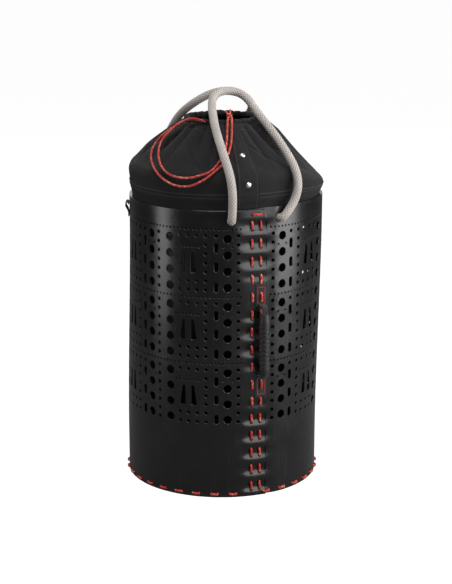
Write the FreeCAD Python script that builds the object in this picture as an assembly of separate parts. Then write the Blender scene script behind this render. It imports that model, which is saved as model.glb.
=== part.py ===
"""Rope storage bag: a perforated sheet wall laced to a tray, with a canvas collar and rope handles.

Millimetres, +Z up. The origin is the centre of the underside. The laced seam faces -Y.
Azimuths are in degrees about Z, 0 at the seam (-Y) and positive towards +X.
"""

import FreeCAD, Part
import math
import os

os.makedirs("parts", exist_ok=True)
V = FreeCAD.Vector
UP = V(0, 0, 1)
ORIGIN = V(0, 0, 0)

# ---------------------------------------------------------------- driving dimensions
WALL_R = 140.0  # outside radius of the wall
WALL_H = 418.0  # height of the wall
SHEET = 2.0  # thickness of the wall sheet
FLAP_GAP = 0.1  # between the two layers of the overlap
FLAP_END = 6.3  # azimuth where the outer flap ends
FLAP_START = -6.5  # azimuth where the inner flap ends
JOGGLE = (8.0, 10.2)  # azimuths between which the sheet steps inwards

TRAY_FLOOR = 3.0
TRAY_H = 24.0
TRAY_GAP = 0.1
DRAIN_R = 4.0
DRAIN_RINGS = ((95.0, 8), (45.0, 4))

TIER_DROP = 26.1  # from the rim to the top row of the first tier of holes
TIER_PITCH = 96.2
TIERS = 3
MODULE = 48.96  # azimuth of one repeat of the hole pattern
PATTERN_END = 111.0  # azimuth beyond which the sheet is plain, round the back
BIG_R = 6.0
BIG_FIRST = 13.4
BIG_PITCH = 23.0
BIG_COUNT = 4
BIG_COLUMNS = (16.9, 51.7)
SLOT = (6.0, 14.0)
SLOT_DROPS = (26.0, 53.0, 82.0)
SLOT_COLUMN = 23.4
KEY_COLUMNS = (37.4, 42.8)  # the paired tapered slots
KEY_DROPS = (33.0, 62.0)
KEY_WIDTHS = (4.0, 8.5)
KEY_LEAN = 4.0  # how far each of the pair leans away from the other, in degrees

LACE_D = 3.6
LACE_GAP = 0.1  # between a lace and the sheet it lies on
LACE_HOLE_R = 2.2
LACE_COLUMNS = (-2.63, 2.63)
STITCH_DROP = 22.0  # from the rim to the middle of the top stitch
STITCH_PITCH = 25.4
STITCH_CLEAR = 0.5  # least gap between the lowest stitch and the lace round the base
STITCH_LONG = 15.0
BRIDGE_DROP = 6.0
RING_Z = 5.1
RING_FIRST = 6.6
RING_LAST = 346.2
RING_COUNT = 32
RING_LONG = 13.0

CANVAS = 1.2
COLLAR_TUCK = 34.0  # how far the canvas reaches down inside the wall
COLLAR_GAP = 0.3
COLLAR_INSET = 1.4  # from the wall's outside to the canvas above the rim
BAND_RISE = 40.0  # from the rim to the top of the upright band
SHOULDER = (3.1, 47.0)  # inset from the band, and rise above the rim
CONE = ((107.0, 72.0), (93.0, 82.0), (78.0, 93.0), (64.0, 103.0), (55.2, 106.8))
HEM_R = 50.0
HEM_RISE = 108.0
HEM_TUBE_R = 4.5
HEM_BORE_R = 2.2
PLACKET = (-11.0, 1.0)  # azimuths of its two edges
PLACKET_T = 1.0
BINDING_T = 1.2
BINDING_H = 24.0

RIVET_AZ = -5.0
RIVET_HEAD_R = 3.6
RIVET_HEAD_H = 1.8
RIVET_DOME = ((0.97, 0.2), (0.8, 0.6), (0.5, 0.9), (0.0, 1.0))  # shares of the head's radius and height
RIVET_STEM_R = 1.5
RIVET_BACK_R = 4.5
RIVET_BACK_T = 1.0
RIVET_BAND_RISE = 35.0
TIE_W = 18.0
TIE_T = 1.6
WASHER_GAP = 1.3  # between the canvas and the washers, beyond the loop's thickness

ROPE_D = 12.0
HANDLE_AZ = 14.8
HANDLE_DROP = 14.0
ROPE_HOLE_R = 6.5
KNOT_R = 14.0

CORD_D = 3.0

HOLD_AZ = 2.63  # azimuth of the small side handle
HOLD_STITCHES = (4, 9)  # the stitches, counted from the top, that cross its two patches
PATCH_W = 16.0
PATCH_T = 1.5
PATCH_H = 31.5
LEG_DROP = 1.0  # how much nearer the strap's run ends are than its feet, along Z
STRAP_W = 9.0
STRAP_T = 2.4
STANDOFF = 14.0
PIVOT_OFF = 8.2  # from the wall to the axis that the strap swings on
PIVOT_GAP = 0.4
STRAP_BEND_R = 4.0
PAD_H = 5.0
GRIP_L = 90.0
GRIP_R = 7.3
GRIP_END_R = 5.8
GRIP_TAPER = 11.0
GRIP_LOW = 3.0  # how far the grip has slid down from the middle of its run
GRIP_GAP = 0.3
RIBS = 9
RIB_PITCH = 6.5
RIB_GROOVE = 2.2
RIB_DEPTH = 0.8
RIB_FIRST = 10.0
THREAD = 0.8
THREAD_GAP = 0.1
BOX_W = 10.6
BOX_H = 23.5

LOOP_AZ = 109.0
LOOP_W = 20.0
LOOP_OUT = 6.0
LOOP_DROPS = (33.0, 12.0)  # from the rim to its two edges
LOOP_T = 1.5

# Routes of the free ropes and cords.
FRONT_HANDLE = [
    (-37.4, -141.4, 404), (-37, -143.5, 424), (-37.5, -145, 446), (-39.5, -140, 468),
    (-41, -126, 486), (-40.5, -107, 502), (-39, -88, 516), (-36.5, -70, 528),
    (-32.5, -53, 539), (-28, -35.5, 546.5), (-22, -21.5, 557), (-11, -12.5, 564),
    (4, -9.5, 566.5), (19, -12.5, 564), (30, -22, 556.5), (38, -40, 538.5),
    (43.5, -58, 525.5), (49, -78, 512), (53, -97, 499), (57, -116, 484.5),
    (61, -132, 467), (62.5, -137.5, 448), (58, -139, 431), (48, -141, 416),
    (37.4, -141.4, 404),
]
REAR_HANDLE = [
    (37.4, 141.4, 404), (38.5, 144, 424), (42, 144, 446), (48, 137, 467),
    (54, 121.5, 484), (60, 104, 498), (65.5, 86, 510), (68.5, 67.5, 521),
    (66, 50, 532), (58, 35, 542), (47, 24, 551), (34, 16, 558),
    (19, 11, 562.5), (3, 9.5, 563.5), (-12, 13, 560), (-25, 22, 552),
    (-34, 36, 542), (-38.5, 54, 532), (-41, 73, 521), (-42, 92, 508),
    (-42, 109.5, 495), (-41, 125.5, 481.5), (-39.5, 139, 466), (-38.5, 145, 446),
    (-37.8, 144, 424), (-37.4, 141.4, 404),
]
CORD_OUTER = [
    (-43, -36, 528), (-52, -34, 531.5), (-62, -24, 530), (-72, -15, 523.5),
    (-84, -9.5, 514), (-97, -9, 504), (-109, -17, 494), (-117, -31, 485),
    (-121, -46, 477), (-122, -61, 470), (-119.5, -76, 462), (-112.5, -90, 455),
    (-101.5, -101, 450.5), (-89, -112, 451), (-76, -121, 458), (-63, -124.5, 466.5),
    (-50, -120, 474.5), (-37, -114, 482.5), (-24, -99.5, 498), (-16.5, -85, 511),
    (-11, -71, 523), (-7.5, -61.5, 531), (-5.5, -55.5, 534.5),
]
CORD_INNER = [
    (-40.5, -39.5, 528), (-50.5, -40.5, 533), (-61.3, -31, 532), (-70.5, -21.5, 525.5),
    (-81, -15.5, 516), (-92, -16, 507), (-102, -26, 498), (-109, -40, 489),
    (-113, -55, 481), (-114.5, -69, 474), (-112, -82, 467.5), (-105.5, -93.5, 463.5),
    (-96, -103.5, 462), (-85.5, -112, 463), (-73.5, -118, 467), (-61, -120, 471),
    (-49.5, -115, 478), (-41, -108.5, 486.5), (-31, -99.5, 495.5), (-24, -86.5, 509),
    (-18.5, -72.5, 521), (-14, -62, 529.5), (-10.5, -54, 534.5),
]
CORD_KNOT = (-7.5, -51.5, 535.6)
CORD_KNOT_R = 4.2

# ---------------------------------------------------------------- values that follow
WALL_IN = WALL_R - SHEET
FLAP_OUT = WALL_IN - FLAP_GAP
FLAP_IN = FLAP_OUT - SHEET
LACE_R = LACE_D / 2
LACE_OUT = WALL_R + LACE_GAP + LACE_R
LACE_IN = FLAP_IN - LACE_GAP - LACE_R
LACE_BEND_R = LACE_R * 1.2
ROPE_R = ROPE_D / 2
TUCK_R = FLAP_IN - COLLAR_GAP
BINDING_R = TUCK_R - CANVAS - 0.15
LACE_DEEP = BINDING_R - BINDING_T - LACE_GAP - LACE_R  # where a lace runs inside the collar
STITCH_HALF = STITCH_LONG / 2 - LACE_R
HOLD_EDGE = STITCH_LONG / 2 + THREAD_GAP + THREAD
TIER_TOP = WALL_H - TIER_DROP
STITCH_TOP = WALL_H - STITCH_DROP
STITCH_LOWEST = RING_Z + LACE_R + STITCH_CLEAR + STITCH_LONG / 2
STITCH_COUNT = 1 + int((STITCH_TOP - STITCH_LOWEST) / STITCH_PITCH)
BRIDGE_Z = WALL_H - BRIDGE_DROP
COLLAR_TUCK_Z = WALL_H - COLLAR_TUCK
COLLAR_R = WALL_R - COLLAR_INSET
HANDLE_Z = WALL_H - HANDLE_DROP
BOX_TOP_Z = STITCH_TOP - STITCH_PITCH * HOLD_STITCHES[0] - HOLD_EDGE
BOX_LOW_Z = STITCH_TOP - STITCH_PITCH * HOLD_STITCHES[1] + HOLD_EDGE
PATCH_TOP_Z = BOX_TOP_Z - PAD_H
PATCH_LOW_Z = BOX_LOW_Z + PAD_H
STRAP_TOP_Z = BOX_TOP_Z - PAD_H / 2
STRAP_LOW_Z = BOX_LOW_Z + PAD_H / 2
HOLD_MID_Z = (STRAP_TOP_Z + STRAP_LOW_Z) / 2


def polar(radius, azimuth, z=0.0):
    """A point at a radius and an azimuth."""
    a = math.radians(azimuth)
    return V(radius * math.sin(a), -radius * math.cos(a), z)


def at_azimuth(shape, azimuth):
    """A shape made at the seam, turned to an azimuth."""
    turned = shape.copy()
    turned.rotate(ORIGIN, UP, azimuth)
    return turned


def arc(radius, start, end, z=0.0):
    """An arc about Z from one azimuth to another."""
    middle = polar(radius, (start + end) / 2, z)
    return Part.Arc(polar(radius, start, z), middle, polar(radius, end, z)).toShape()


def sector(inner, outer, start, end, low, high):
    """A block between two radii, two azimuths and two heights."""
    edges = [
        arc(outer, start, end, low),
        Part.makeLine(polar(outer, end, low), polar(inner, end, low)),
        arc(inner, end, start, low),
        Part.makeLine(polar(inner, start, low), polar(outer, start, low)),
    ]
    return Part.Face(Part.Wire(edges)).extrude(V(0, 0, high - low))


def ring(inner, outer, low, high):
    """A plain ring about Z."""
    outside = Part.makeCylinder(outer, high - low, V(0, 0, low))
    return outside.cut(Part.makeCylinder(inner, high - low + 2, V(0, 0, low - 1)))


def revolved(points, start=0.0, sweep=360.0):
    """A closed outline of (radius, z) points, turned about Z from an azimuth."""
    corners = [V(0, -r, z) for r, z in points]
    face = Part.Face(Part.makePolygon(corners + corners[:1]))
    return at_azimuth(face.revolve(ORIGIN, UP, sweep), start)


def radial_hole(radius, azimuth, z, near=120.0):
    """A round cutter that points out through the wall."""
    direction = polar(1, azimuth)
    return Part.makeCylinder(radius, WALL_R + 12 - near, polar(near, azimuth, z), direction)


def offset_line(points, distance):
    """Points of an open (radius, z) line moved to its left by a distance."""
    moved = []
    for i, (r, z) in enumerate(points):
        before = points[max(i - 1, 0)]
        after = points[min(i + 1, len(points) - 1)]
        dr, dz = after[0] - before[0], after[1] - before[1]
        length = math.hypot(dr, dz)
        moved.append((r - dz / length * distance, z + dr / length * distance))
    return moved


def rounded_wire(points, radii):
    """Straight runs joined by tangent arcs, with one radius for each inner point."""
    points = [V(*p) for p in points]
    edges, start = [], points[0]
    for before, corner, after, radius in zip(points, points[1:], points[2:], radii):
        back = (before - corner).normalize()
        on = (after - corner).normalize()
        half_turn = (math.pi - back.getAngle(on)) / 2
        reach = radius * math.tan(half_turn)
        first, last = corner + back * reach, corner + on * reach
        bisector = (back + on).normalize()
        middle = corner + bisector * (radius / math.cos(half_turn) - radius)
        edges.append(Part.LineSegment(start, first).toShape())
        edges.append(Part.Arc(first, middle, last).toShape())
        start = last
    edges.append(Part.LineSegment(start, points[-1]).toShape())
    return Part.Wire(edges)


def half_turns(points):
    """Half of the turn at each inner point, in radians, with its shorter run."""
    points = [V(*p) for p in points]
    found = []
    for before, corner, after in zip(points, points[1:], points[2:]):
        turn = (corner - before).getAngle(after - corner)
        shorter = min((corner - before).Length, (after - corner).Length)
        found.append((turn / 2, shorter))
    return found


def tube(wire, radius):
    """A round tube along a smooth wire."""
    edge = wire.Edges[0]
    start = edge.valueAt(edge.FirstParameter)
    tangent = edge.tangentAt(edge.FirstParameter)
    profile = Part.Wire(Part.makeCircle(radius, start, tangent))
    return wire.makePipeShell([profile], True, True)


def cord(name, points, diameter):
    """A free cord's tube; prints its length, its radii and its volume's ratio."""
    radii = [0.45 * run / math.tan(half) for half, run in half_turns(points)]
    wire = rounded_wire(points, radii)
    solid = tube(wire, diameter / 2)
    expected = math.pi * diameter**2 / 4 * wire.Length
    print(
        f"{name}: length {wire.Length:.0f}, tightest radius {min(radii):.1f} "
        f"({min(radii) / diameter:.1f} diameters), volume ratio {solid.Volume / expected:.4f}"
    )
    return solid


def export(name, shapes):
    """Write one node; several solids go in as separate solids."""
    solids = []
    for shape in shapes if isinstance(shapes, list) else [shapes]:
        solids.extend(shape.Solids)
    node = solids[0] if len(solids) == 1 else Part.makeCompound(solids)
    if not node.isValid():
        print("NOT VALID", name)
    node.exportStep(f"parts/{name}.step")
    print(f"{name}: {len(solids)} solids, {node.Volume / 1000:.2f} cm3")
    return node


# ---------------------------------------------------------------- holes of the wall
def stitch_heights():
    """Centre heights of the seam's stitches, from the top."""
    return [STITCH_TOP - STITCH_PITCH * i for i in range(STITCH_COUNT)]


def ring_stitches():
    """Centre azimuths of the stitches round the base."""
    step = (RING_LAST - RING_FIRST) / (RING_COUNT - 1)
    return [RING_FIRST + step * i for i in range(RING_COUNT)]


def ring_half():
    """Half of a base stitch between its two holes, as an azimuth."""
    return math.degrees((RING_LONG / 2 - LACE_R) / WALL_R)


def lace_holes():
    """Cutters for every hole that a lace passes through."""
    cutters = []
    for azimuth in LACE_COLUMNS:
        cutters.append(radial_hole(LACE_HOLE_R, azimuth, BRIDGE_Z))
        for z in stitch_heights():
            for side in (-1, 1):
                cutters.append(radial_hole(LACE_HOLE_R, azimuth, z + side * STITCH_HALF))
    return cutters


def ring_holes():
    """Cutters for the holes of the base's stitches."""
    cutters = []
    for centre in ring_stitches():
        for side in (-1, 1):
            cutters.append(radial_hole(LACE_HOLE_R, centre + side * ring_half(), RING_Z))
    return cutters


def handle_holes():
    """Cutters for the four holes of the rope handles."""
    return [
        radial_hole(ROPE_HOLE_R, middle + side * HANDLE_AZ, HANDLE_Z)
        for middle in (0, 180)
        for side in (-1, 1)
    ]


def repeats(columns):
    """The azimuths where columns of the pattern come up again, on one side of the seam."""
    count = 1 + int(PATTERN_END / MODULE)
    every = [column + MODULE * i for column in columns for i in range(count)]
    return [azimuth for azimuth in every if azimuth < PATTERN_END]


def slot_cutter(azimuth, z):
    """An upright slot with round ends."""
    width, height = SLOT
    half = (height - width) / 2
    body = Part.makeBox(width, 40, 2 * half, V(-width / 2, -WALL_R - 12, z - half))
    for end in (z - half, z + half):
        body = body.fuse(Part.makeCylinder(width / 2, 40, V(0, -WALL_R - 12, end), V(0, 1, 0)))
    return at_azimuth(body, azimuth)


def key_cutter(azimuth, top, mirrored):
    """A tapered slot, narrow at the top, that leans away from its neighbour."""
    lean = (KEY_DROPS[1] - KEY_DROPS[0]) * math.tan(math.radians(KEY_LEAN))
    lean = -lean if mirrored else lean
    high, low = top - KEY_DROPS[0], top - KEY_DROPS[1]
    narrow, wide = KEY_WIDTHS[0] / 2, KEY_WIDTHS[1] / 2
    corners = [
        V(-narrow, -WALL_R - 12, high),
        V(narrow, -WALL_R - 12, high),
        V(lean + wide, -WALL_R - 12, low),
        V(lean - wide, -WALL_R - 12, low),
    ]
    face = Part.Face(Part.makePolygon(corners + corners[:1]))
    return at_azimuth(face.extrude(V(0, 40, 0)), azimuth)


def pattern_holes():
    """Cutters for the large holes and slots, mirrored about the seam."""
    cutters = []
    for tier in range(TIERS):
        top = TIER_TOP - TIER_PITCH * tier
        for side in (-1, 1):
            for azimuth in repeats(BIG_COLUMNS):
                for row in range(BIG_COUNT):
                    z = top - BIG_FIRST - BIG_PITCH * row
                    cutters.append(radial_hole(BIG_R, side * azimuth, z))
            for azimuth in repeats([SLOT_COLUMN]):
                for drop in SLOT_DROPS:
                    cutters.append(slot_cutter(side * azimuth, top - drop))
            for column, mirrored in zip(KEY_COLUMNS, (True, False)):
                leans_back = mirrored == (side > 0)
                for azimuth in repeats([column]):
                    cutters.append(key_cutter(side * azimuth, top, leans_back))
    return cutters


# ---------------------------------------------------------------- wall and tray
def wall_sheet():
    """The wall: one sheet rolled round with its two edges overlapped at the seam."""
    far = JOGGLE[1] - 360
    edges = [
        arc(WALL_R, FLAP_END, far),
        Part.makeLine(polar(WALL_R, far), polar(FLAP_OUT, JOGGLE[0])),
        arc(FLAP_OUT, JOGGLE[0], FLAP_START),
        Part.makeLine(polar(FLAP_OUT, FLAP_START), polar(FLAP_IN, FLAP_START)),
        arc(FLAP_IN, FLAP_START, JOGGLE[0]),
        Part.makeLine(polar(FLAP_IN, JOGGLE[0]), polar(WALL_IN, JOGGLE[1])),
        arc(WALL_IN, far, FLAP_END),
        Part.makeLine(polar(WALL_IN, FLAP_END), polar(WALL_R, FLAP_END)),
    ]
    body = Part.Face(Part.Wire(edges)).extrude(V(0, 0, WALL_H))
    return body.cut(pattern_holes() + lace_holes() + ring_holes() + handle_holes())


def base_tray():
    """The tray that closes the bottom, with a short upstand inside the wall."""
    outer = WALL_IN - TRAY_GAP
    body = Part.makeCylinder(outer, TRAY_FLOOR)
    body = body.fuse(ring(outer - SHEET, outer, 0, TRAY_H)).removeSplitter()
    notch = sector(
        FLAP_IN - TRAY_GAP, WALL_R, FLAP_START - 0.3, JOGGLE[1] + 0.3, -1, TRAY_H + 1
    )
    drains = []
    for radius, count in DRAIN_RINGS:
        for i in range(count):
            centre = polar(radius, 360 * i / count, -5)
            drains.append(Part.makeCylinder(DRAIN_R, 20, centre))
    return body.cut([notch] + drains + ring_holes())


# ---------------------------------------------------------------- laces
def run_outside(azimuth, z):
    """The radius of a stitch's outer run, further out where it crosses a webbing patch."""
    top = PATCH_TOP_Z < z < PATCH_TOP_Z + PATCH_H
    low = PATCH_LOW_Z - PATCH_H < z < PATCH_LOW_Z
    crosses = azimuth == HOLD_AZ and (top or low)
    return LACE_OUT + PATCH_T if crosses else LACE_OUT


def run_inside(z):
    """The radius of a lace's inner run, deeper where it also holds the collar."""
    return LACE_DEEP if z > COLLAR_TUCK_Z - STITCH_PITCH / 2 else LACE_IN


def seam_column(azimuth):
    """One column of running stitches, made at the seam and turned to its azimuth."""
    line = [(LACE_OUT, BRIDGE_Z), (LACE_DEEP, BRIDGE_Z)]
    for z in stitch_heights():
        outside = run_outside(azimuth, z)
        high, low = z + STITCH_HALF, z - STITCH_HALF
        line += [(run_inside(high), high), (outside, high), (outside, low), (run_inside(high), low)]
        if run_inside(high) != run_inside(low - STITCH_PITCH / 2):
            line[-1] = (LACE_DEEP, low)
    line.append((LACE_IN, line[-1][1] + STITCH_HALF))
    wire = rounded_wire([(0, -r, z) for r, z in line], [LACE_BEND_R] * (len(line) - 2))
    return at_azimuth(tube(wire, LACE_R), azimuth)


def seam_lacing():
    """The two columns and the bridge that joins them at the top."""
    columns = [seam_column(azimuth) for azimuth in LACE_COLUMNS]
    centre = Part.Wire([arc(LACE_OUT, LACE_COLUMNS[0], LACE_COLUMNS[1], BRIDGE_Z)])
    lace = columns[0].fuse([columns[1], tube(centre, LACE_R)])
    for azimuth in LACE_COLUMNS:
        lace = lace.fuse(Part.makeSphere(LACE_R, polar(LACE_OUT, azimuth, BRIDGE_Z)))
    return lace


def ring_bend(run_r, leg_r, azimuth, side):
    """A quarter bend as three points, from a run at one radius to a leg through the wall."""
    turn = math.degrees(LACE_BEND_R / WALL_R)
    step = LACE_BEND_R if leg_r > run_r else -LACE_BEND_R
    away = 1 - math.sqrt(0.5)
    return [
        polar(run_r, azimuth + side * turn, RING_Z),
        polar(run_r + step * away, azimuth + side * turn * away, RING_Z),
        polar(run_r + step, azimuth, RING_Z),
    ]


def ring_run(run_r, leg_r, start, end):
    """A run between two azimuths with a quarter bend at each end, as edges in order."""
    turn = math.degrees(LACE_BEND_R / WALL_R)
    first = ring_bend(run_r, leg_r, start, 1)
    last = ring_bend(run_r, leg_r, end, -1)
    return [
        Part.Arc(*first[::-1]).toShape(),
        arc(run_r, start + turn, end - turn, RING_Z),
        Part.Arc(*last).toShape(),
    ]


def base_lacing():
    """Running stitches that go round the base, just above the floor."""
    half = ring_half()
    centres = ring_stitches()
    inner_leg, outer_leg = LACE_IN + LACE_BEND_R, LACE_OUT - LACE_BEND_R
    tail = LACE_IN - LACE_R

    def leg(from_r, to_r, azimuth):
        """A straight run through the wall."""
        start, end = polar(from_r, azimuth, RING_Z), polar(to_r, azimuth, RING_Z)
        return Part.makeLine(start, end)

    edges = [leg(tail, outer_leg, centres[0] - half)]
    for centre, following in zip(centres, centres[1:]):
        edges += ring_run(LACE_OUT, LACE_IN, centre - half, centre + half)
        edges.append(leg(outer_leg, inner_leg, centre + half))
        edges += ring_run(LACE_IN, LACE_OUT, centre + half, following - half)
        edges.append(leg(inner_leg, outer_leg, following - half))
    edges += ring_run(LACE_OUT, LACE_IN, centres[-1] - half, centres[-1] + half)
    edges.append(leg(outer_leg, tail, centres[-1] + half))
    return tube(Part.Wire(edges), LACE_R)


# ---------------------------------------------------------------- collar
def collar_line():
    """The outside of the canvas collar, from the shoulder band to the mouth."""
    line = [(COLLAR_R, WALL_H + 18), (COLLAR_R, WALL_H + BAND_RISE)]
    line.append((COLLAR_R - SHOULDER[0], WALL_H + SHOULDER[1]))
    return line + [(r, WALL_H + rise) for r, rise in CONE]


def canvas_top():
    """Height of the collar's upper edge."""
    return WALL_H + CONE[-1][1]


def rivet_places():
    """Each rivet's point on the canvas as (radius, z), with its outward normal."""
    first, second = collar_line()[2], collar_line()[3]
    run = math.hypot(second[0] - first[0], second[1] - first[1])
    cone_normal = ((second[1] - first[1]) / run, (first[0] - second[0]) / run)
    return [
        ((COLLAR_R, WALL_H + RIVET_BAND_RISE), (1.0, 0.0)),
        ((second[0] + cone_normal[1] * 2, second[1] - cone_normal[0] * 2), cone_normal),
    ]


def along(place, normal, distance):
    """A point on a rivet's axis and the axis itself."""
    r, z = place[0] + normal[0] * distance, place[1] + normal[1] * distance
    direction = polar(normal[0], RIVET_AZ) + V(0, 0, normal[1])
    return polar(r, RIVET_AZ, z), direction


def rivet_holes():
    """Cutters for the rivets' stems."""
    cutters = []
    for place, normal in rivet_places():
        start, direction = along(place, normal, -12)
        cutters.append(Part.makeCylinder(RIVET_STEM_R + 0.1, 24, start, direction))
    return cutters


def collar_fabric():
    """Canvas collar: tucked inside the rim, upright band, then a cone to the mouth."""
    outside = [(TUCK_R, COLLAR_TUCK_Z), (TUCK_R, WALL_H + 3)] + collar_line()
    inside = offset_line(outside, CANVAS)
    shell = revolved(outside + inside[::-1])
    return shell.cut(handle_holes() + rivet_holes() + lace_holes())


def collar_placket():
    """The strip that covers the collar's own seam."""
    inside = offset_line(collar_line(), -0.05)
    outside = offset_line(collar_line(), -PLACKET_T)
    strip = revolved(inside + outside[::-1], PLACKET[0], PLACKET[1] - PLACKET[0])
    return strip.cut(rivet_holes())


def collar_binding():
    """Webbing tape sewn round the collar's lower edge, where the rope knots bear."""
    low, high = HANDLE_Z - BINDING_H / 2, HANDLE_Z + BINDING_H / 2
    tape = ring(BINDING_R - BINDING_T, BINDING_R, low, high)
    return tape.cut(handle_holes() + lace_holes())


def collar_hem():
    """The rolled hem round the mouth, with the channel for the drawstring."""
    centre = V(0, 0, WALL_H + HEM_RISE)
    hem = Part.makeTorus(HEM_R, HEM_TUBE_R, centre)
    return hem.cut(Part.makeTorus(HEM_R, HEM_BORE_R, centre))


def drawstring_in_hem():
    """The part of the drawstring that lies in the hem."""
    return Part.makeTorus(HEM_R, CORD_D / 2, V(0, 0, WALL_H + HEM_RISE))


def rivets():
    """Domed rivets through the placket."""
    made = []
    length = PLACKET_T + CANVAS + TIE_T + RIVET_BACK_T + WASHER_GAP + 0.3
    corners = [(0, -length), (RIVET_STEM_R, -length), (RIVET_STEM_R, 0), (RIVET_HEAD_R, 0)]
    corners += [(RIVET_HEAD_R * r, RIVET_HEAD_H * h) for r, h in RIVET_DOME]
    points = [V(r, 0, h) for r, h in corners]
    outline = Part.makePolygon(points + points[:1])
    for place, normal in rivet_places():
        base, direction = along(place, normal, PLACKET_T + 0.05)
        rivet = Part.Face(outline).revolve(ORIGIN, UP, 360)
        rivet.Placement = FreeCAD.Placement(base, FreeCAD.Rotation(UP, direction))
        made.append(rivet)
    return made


def rivet_backs():
    """Washers on the rivets, inside the bag."""
    made = []
    for place, normal in rivet_places():
        depth = CANVAS + TIE_T + WASHER_GAP + RIVET_BACK_T
        base, direction = along(place, normal, -depth)
        disc = Part.makeCylinder(RIVET_BACK_R, RIVET_BACK_T, base, direction)
        made.append(disc.cut(rivet_holes()))
    return made


def inner_tie_loop():
    """Webbing loop inside the collar, held by the two rivets."""
    (low, _), (high, normal) = rivet_places()
    inset = CANVAS + 0.3 + TIE_T / 2
    foot = (low[0] - inset, low[1])
    head = (high[0] - normal[0] * inset, high[1] - normal[1] * inset)
    slope = (-normal[1], normal[0])
    line = [
        (foot[0], foot[1] - 9),
        (foot[0], foot[1] + 4),
        (head[0] - slope[0] * 7, head[1] - slope[1] * 7),
        (head[0] + slope[0] * 7, head[1] + slope[1] * 7),
    ]
    outline = offset_line(line, TIE_T / 2) + offset_line(line, -TIE_T / 2)[::-1]
    corners = [V(-TIE_W / 2, -r, z) for r, z in outline]
    strip = Part.Face(Part.makePolygon(corners + corners[:1])).extrude(V(TIE_W, 0, 0))
    canvas = offset_line(collar_line(), CANVAS + 0.05) + [(WALL_R, canvas_top()), (WALL_R, WALL_H)]
    return at_azimuth(strip, RIVET_AZ).cut([revolved(canvas)] + rivet_holes())


# ---------------------------------------------------------------- rope handles
def handle_rope(name, points):
    """A rope handle with rounded ends that meet the wall's holes."""
    rope = cord(name, points, ROPE_D)
    for end in (points[0], points[-1]):
        rope = rope.fuse(Part.makeSphere(ROPE_R, V(*end)))
    return rope


def handle_knots(middle):
    """The two rope ends of a handle, inside the wall, each with its stopper knot."""
    made = []
    inside = BINDING_R - BINDING_T
    for side in (-1, 1):
        azimuth = middle + side * HANDLE_AZ
        knot = Part.makeSphere(KNOT_R, polar(inside - 0.1 - KNOT_R, azimuth, HANDLE_Z))
        start = polar(inside - KNOT_R, azimuth, HANDLE_Z)
        stub = Part.makeCylinder(ROPE_R, WALL_R - inside + KNOT_R, start, polar(1, azimuth))
        made.append(knot.fuse(stub))
    return made


# ---------------------------------------------------------------- side handle
def hold(shape):
    """A piece of the side handle, turned to its place."""
    return at_azimuth(shape, HOLD_AZ)


def patch(low, pad_low):
    """A webbing patch on the wall, doubled up where the strap leaves it."""
    half = math.degrees(PATCH_W / 2 / WALL_R)
    inner, outer = WALL_R + 0.05, WALL_R + PATCH_T
    piece = sector(inner, outer, HOLD_AZ - half, HOLD_AZ + half, low, low + PATCH_H)
    reach = PIVOT_OFF - STRAP_W / 2 - PIVOT_GAP
    pad_half = math.degrees(STRAP_W / 2 / WALL_R)
    pad = sector(
        inner, WALL_R + reach, HOLD_AZ - pad_half, HOLD_AZ + pad_half, pad_low, pad_low + PAD_H
    )
    return piece.fuse(pad).removeSplitter().cut(lace_holes())


def side_handle_strap():
    """The strap that stands off the wall, with rounded ends that swing on the patches."""
    feet, run = -WALL_R - PIVOT_OFF + STRAP_W / 2, -WALL_R - STANDOFF
    path = [
        (0, feet, STRAP_TOP_Z),
        (0, run, STRAP_TOP_Z - LEG_DROP),
        (0, run, STRAP_LOW_Z + LEG_DROP),
        (0, feet, STRAP_LOW_Z),
    ]
    centre = rounded_wire(path, [STRAP_BEND_R, STRAP_BEND_R])
    outline = centre.makeOffset2D(STRAP_T / 2, 0, False, False, True)
    strap = Part.Face(outline).extrude(V(STRAP_W, 0, 0))
    strap.translate(V(-STRAP_W / 2, 0, 0))
    size = STRAP_TOP_Z - STRAP_LOW_Z + 40
    foot = V(0, -WALL_R - PIVOT_OFF, HOLD_MID_Z - size / 2)
    inner = Part.makeBox(60, PIVOT_OFF, size, foot - V(30, 0, 0))
    post = Part.makeCylinder(STRAP_W / 2, size, foot)
    return hold(strap.cut(inner.cut(post)))


def side_handle_grip():
    """The ribbed sleeve that slides on the strap."""
    low = HOLD_MID_Z - GRIP_L / 2 - GRIP_LOW
    outline = [(0, low), (GRIP_END_R, low), (GRIP_R, low + GRIP_TAPER)]
    for i in range(RIBS):
        z = low + GRIP_TAPER + RIB_FIRST / 2 + RIB_PITCH * i
        outline += [
            (GRIP_R, z),
            (GRIP_R - RIB_DEPTH, z + RIB_GROOVE * 0.25),
            (GRIP_R - RIB_DEPTH, z + RIB_GROOVE * 0.75),
            (GRIP_R, z + RIB_GROOVE),
        ]
    outline += [(GRIP_R, low + GRIP_L - GRIP_TAPER), (GRIP_END_R, low + GRIP_L), (0, low + GRIP_L)]
    sleeve = revolved(outline)
    width, depth = STRAP_W + 2 * GRIP_GAP, STRAP_T + 2 * GRIP_GAP
    slot = Part.makeBox(width, depth, GRIP_L + 10, V(-width / 2, -depth / 2, low - 5))
    sleeve = sleeve.cut(slot)
    sleeve.translate(V(0, -WALL_R - STANDOFF, 0))
    return hold(sleeve)


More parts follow.
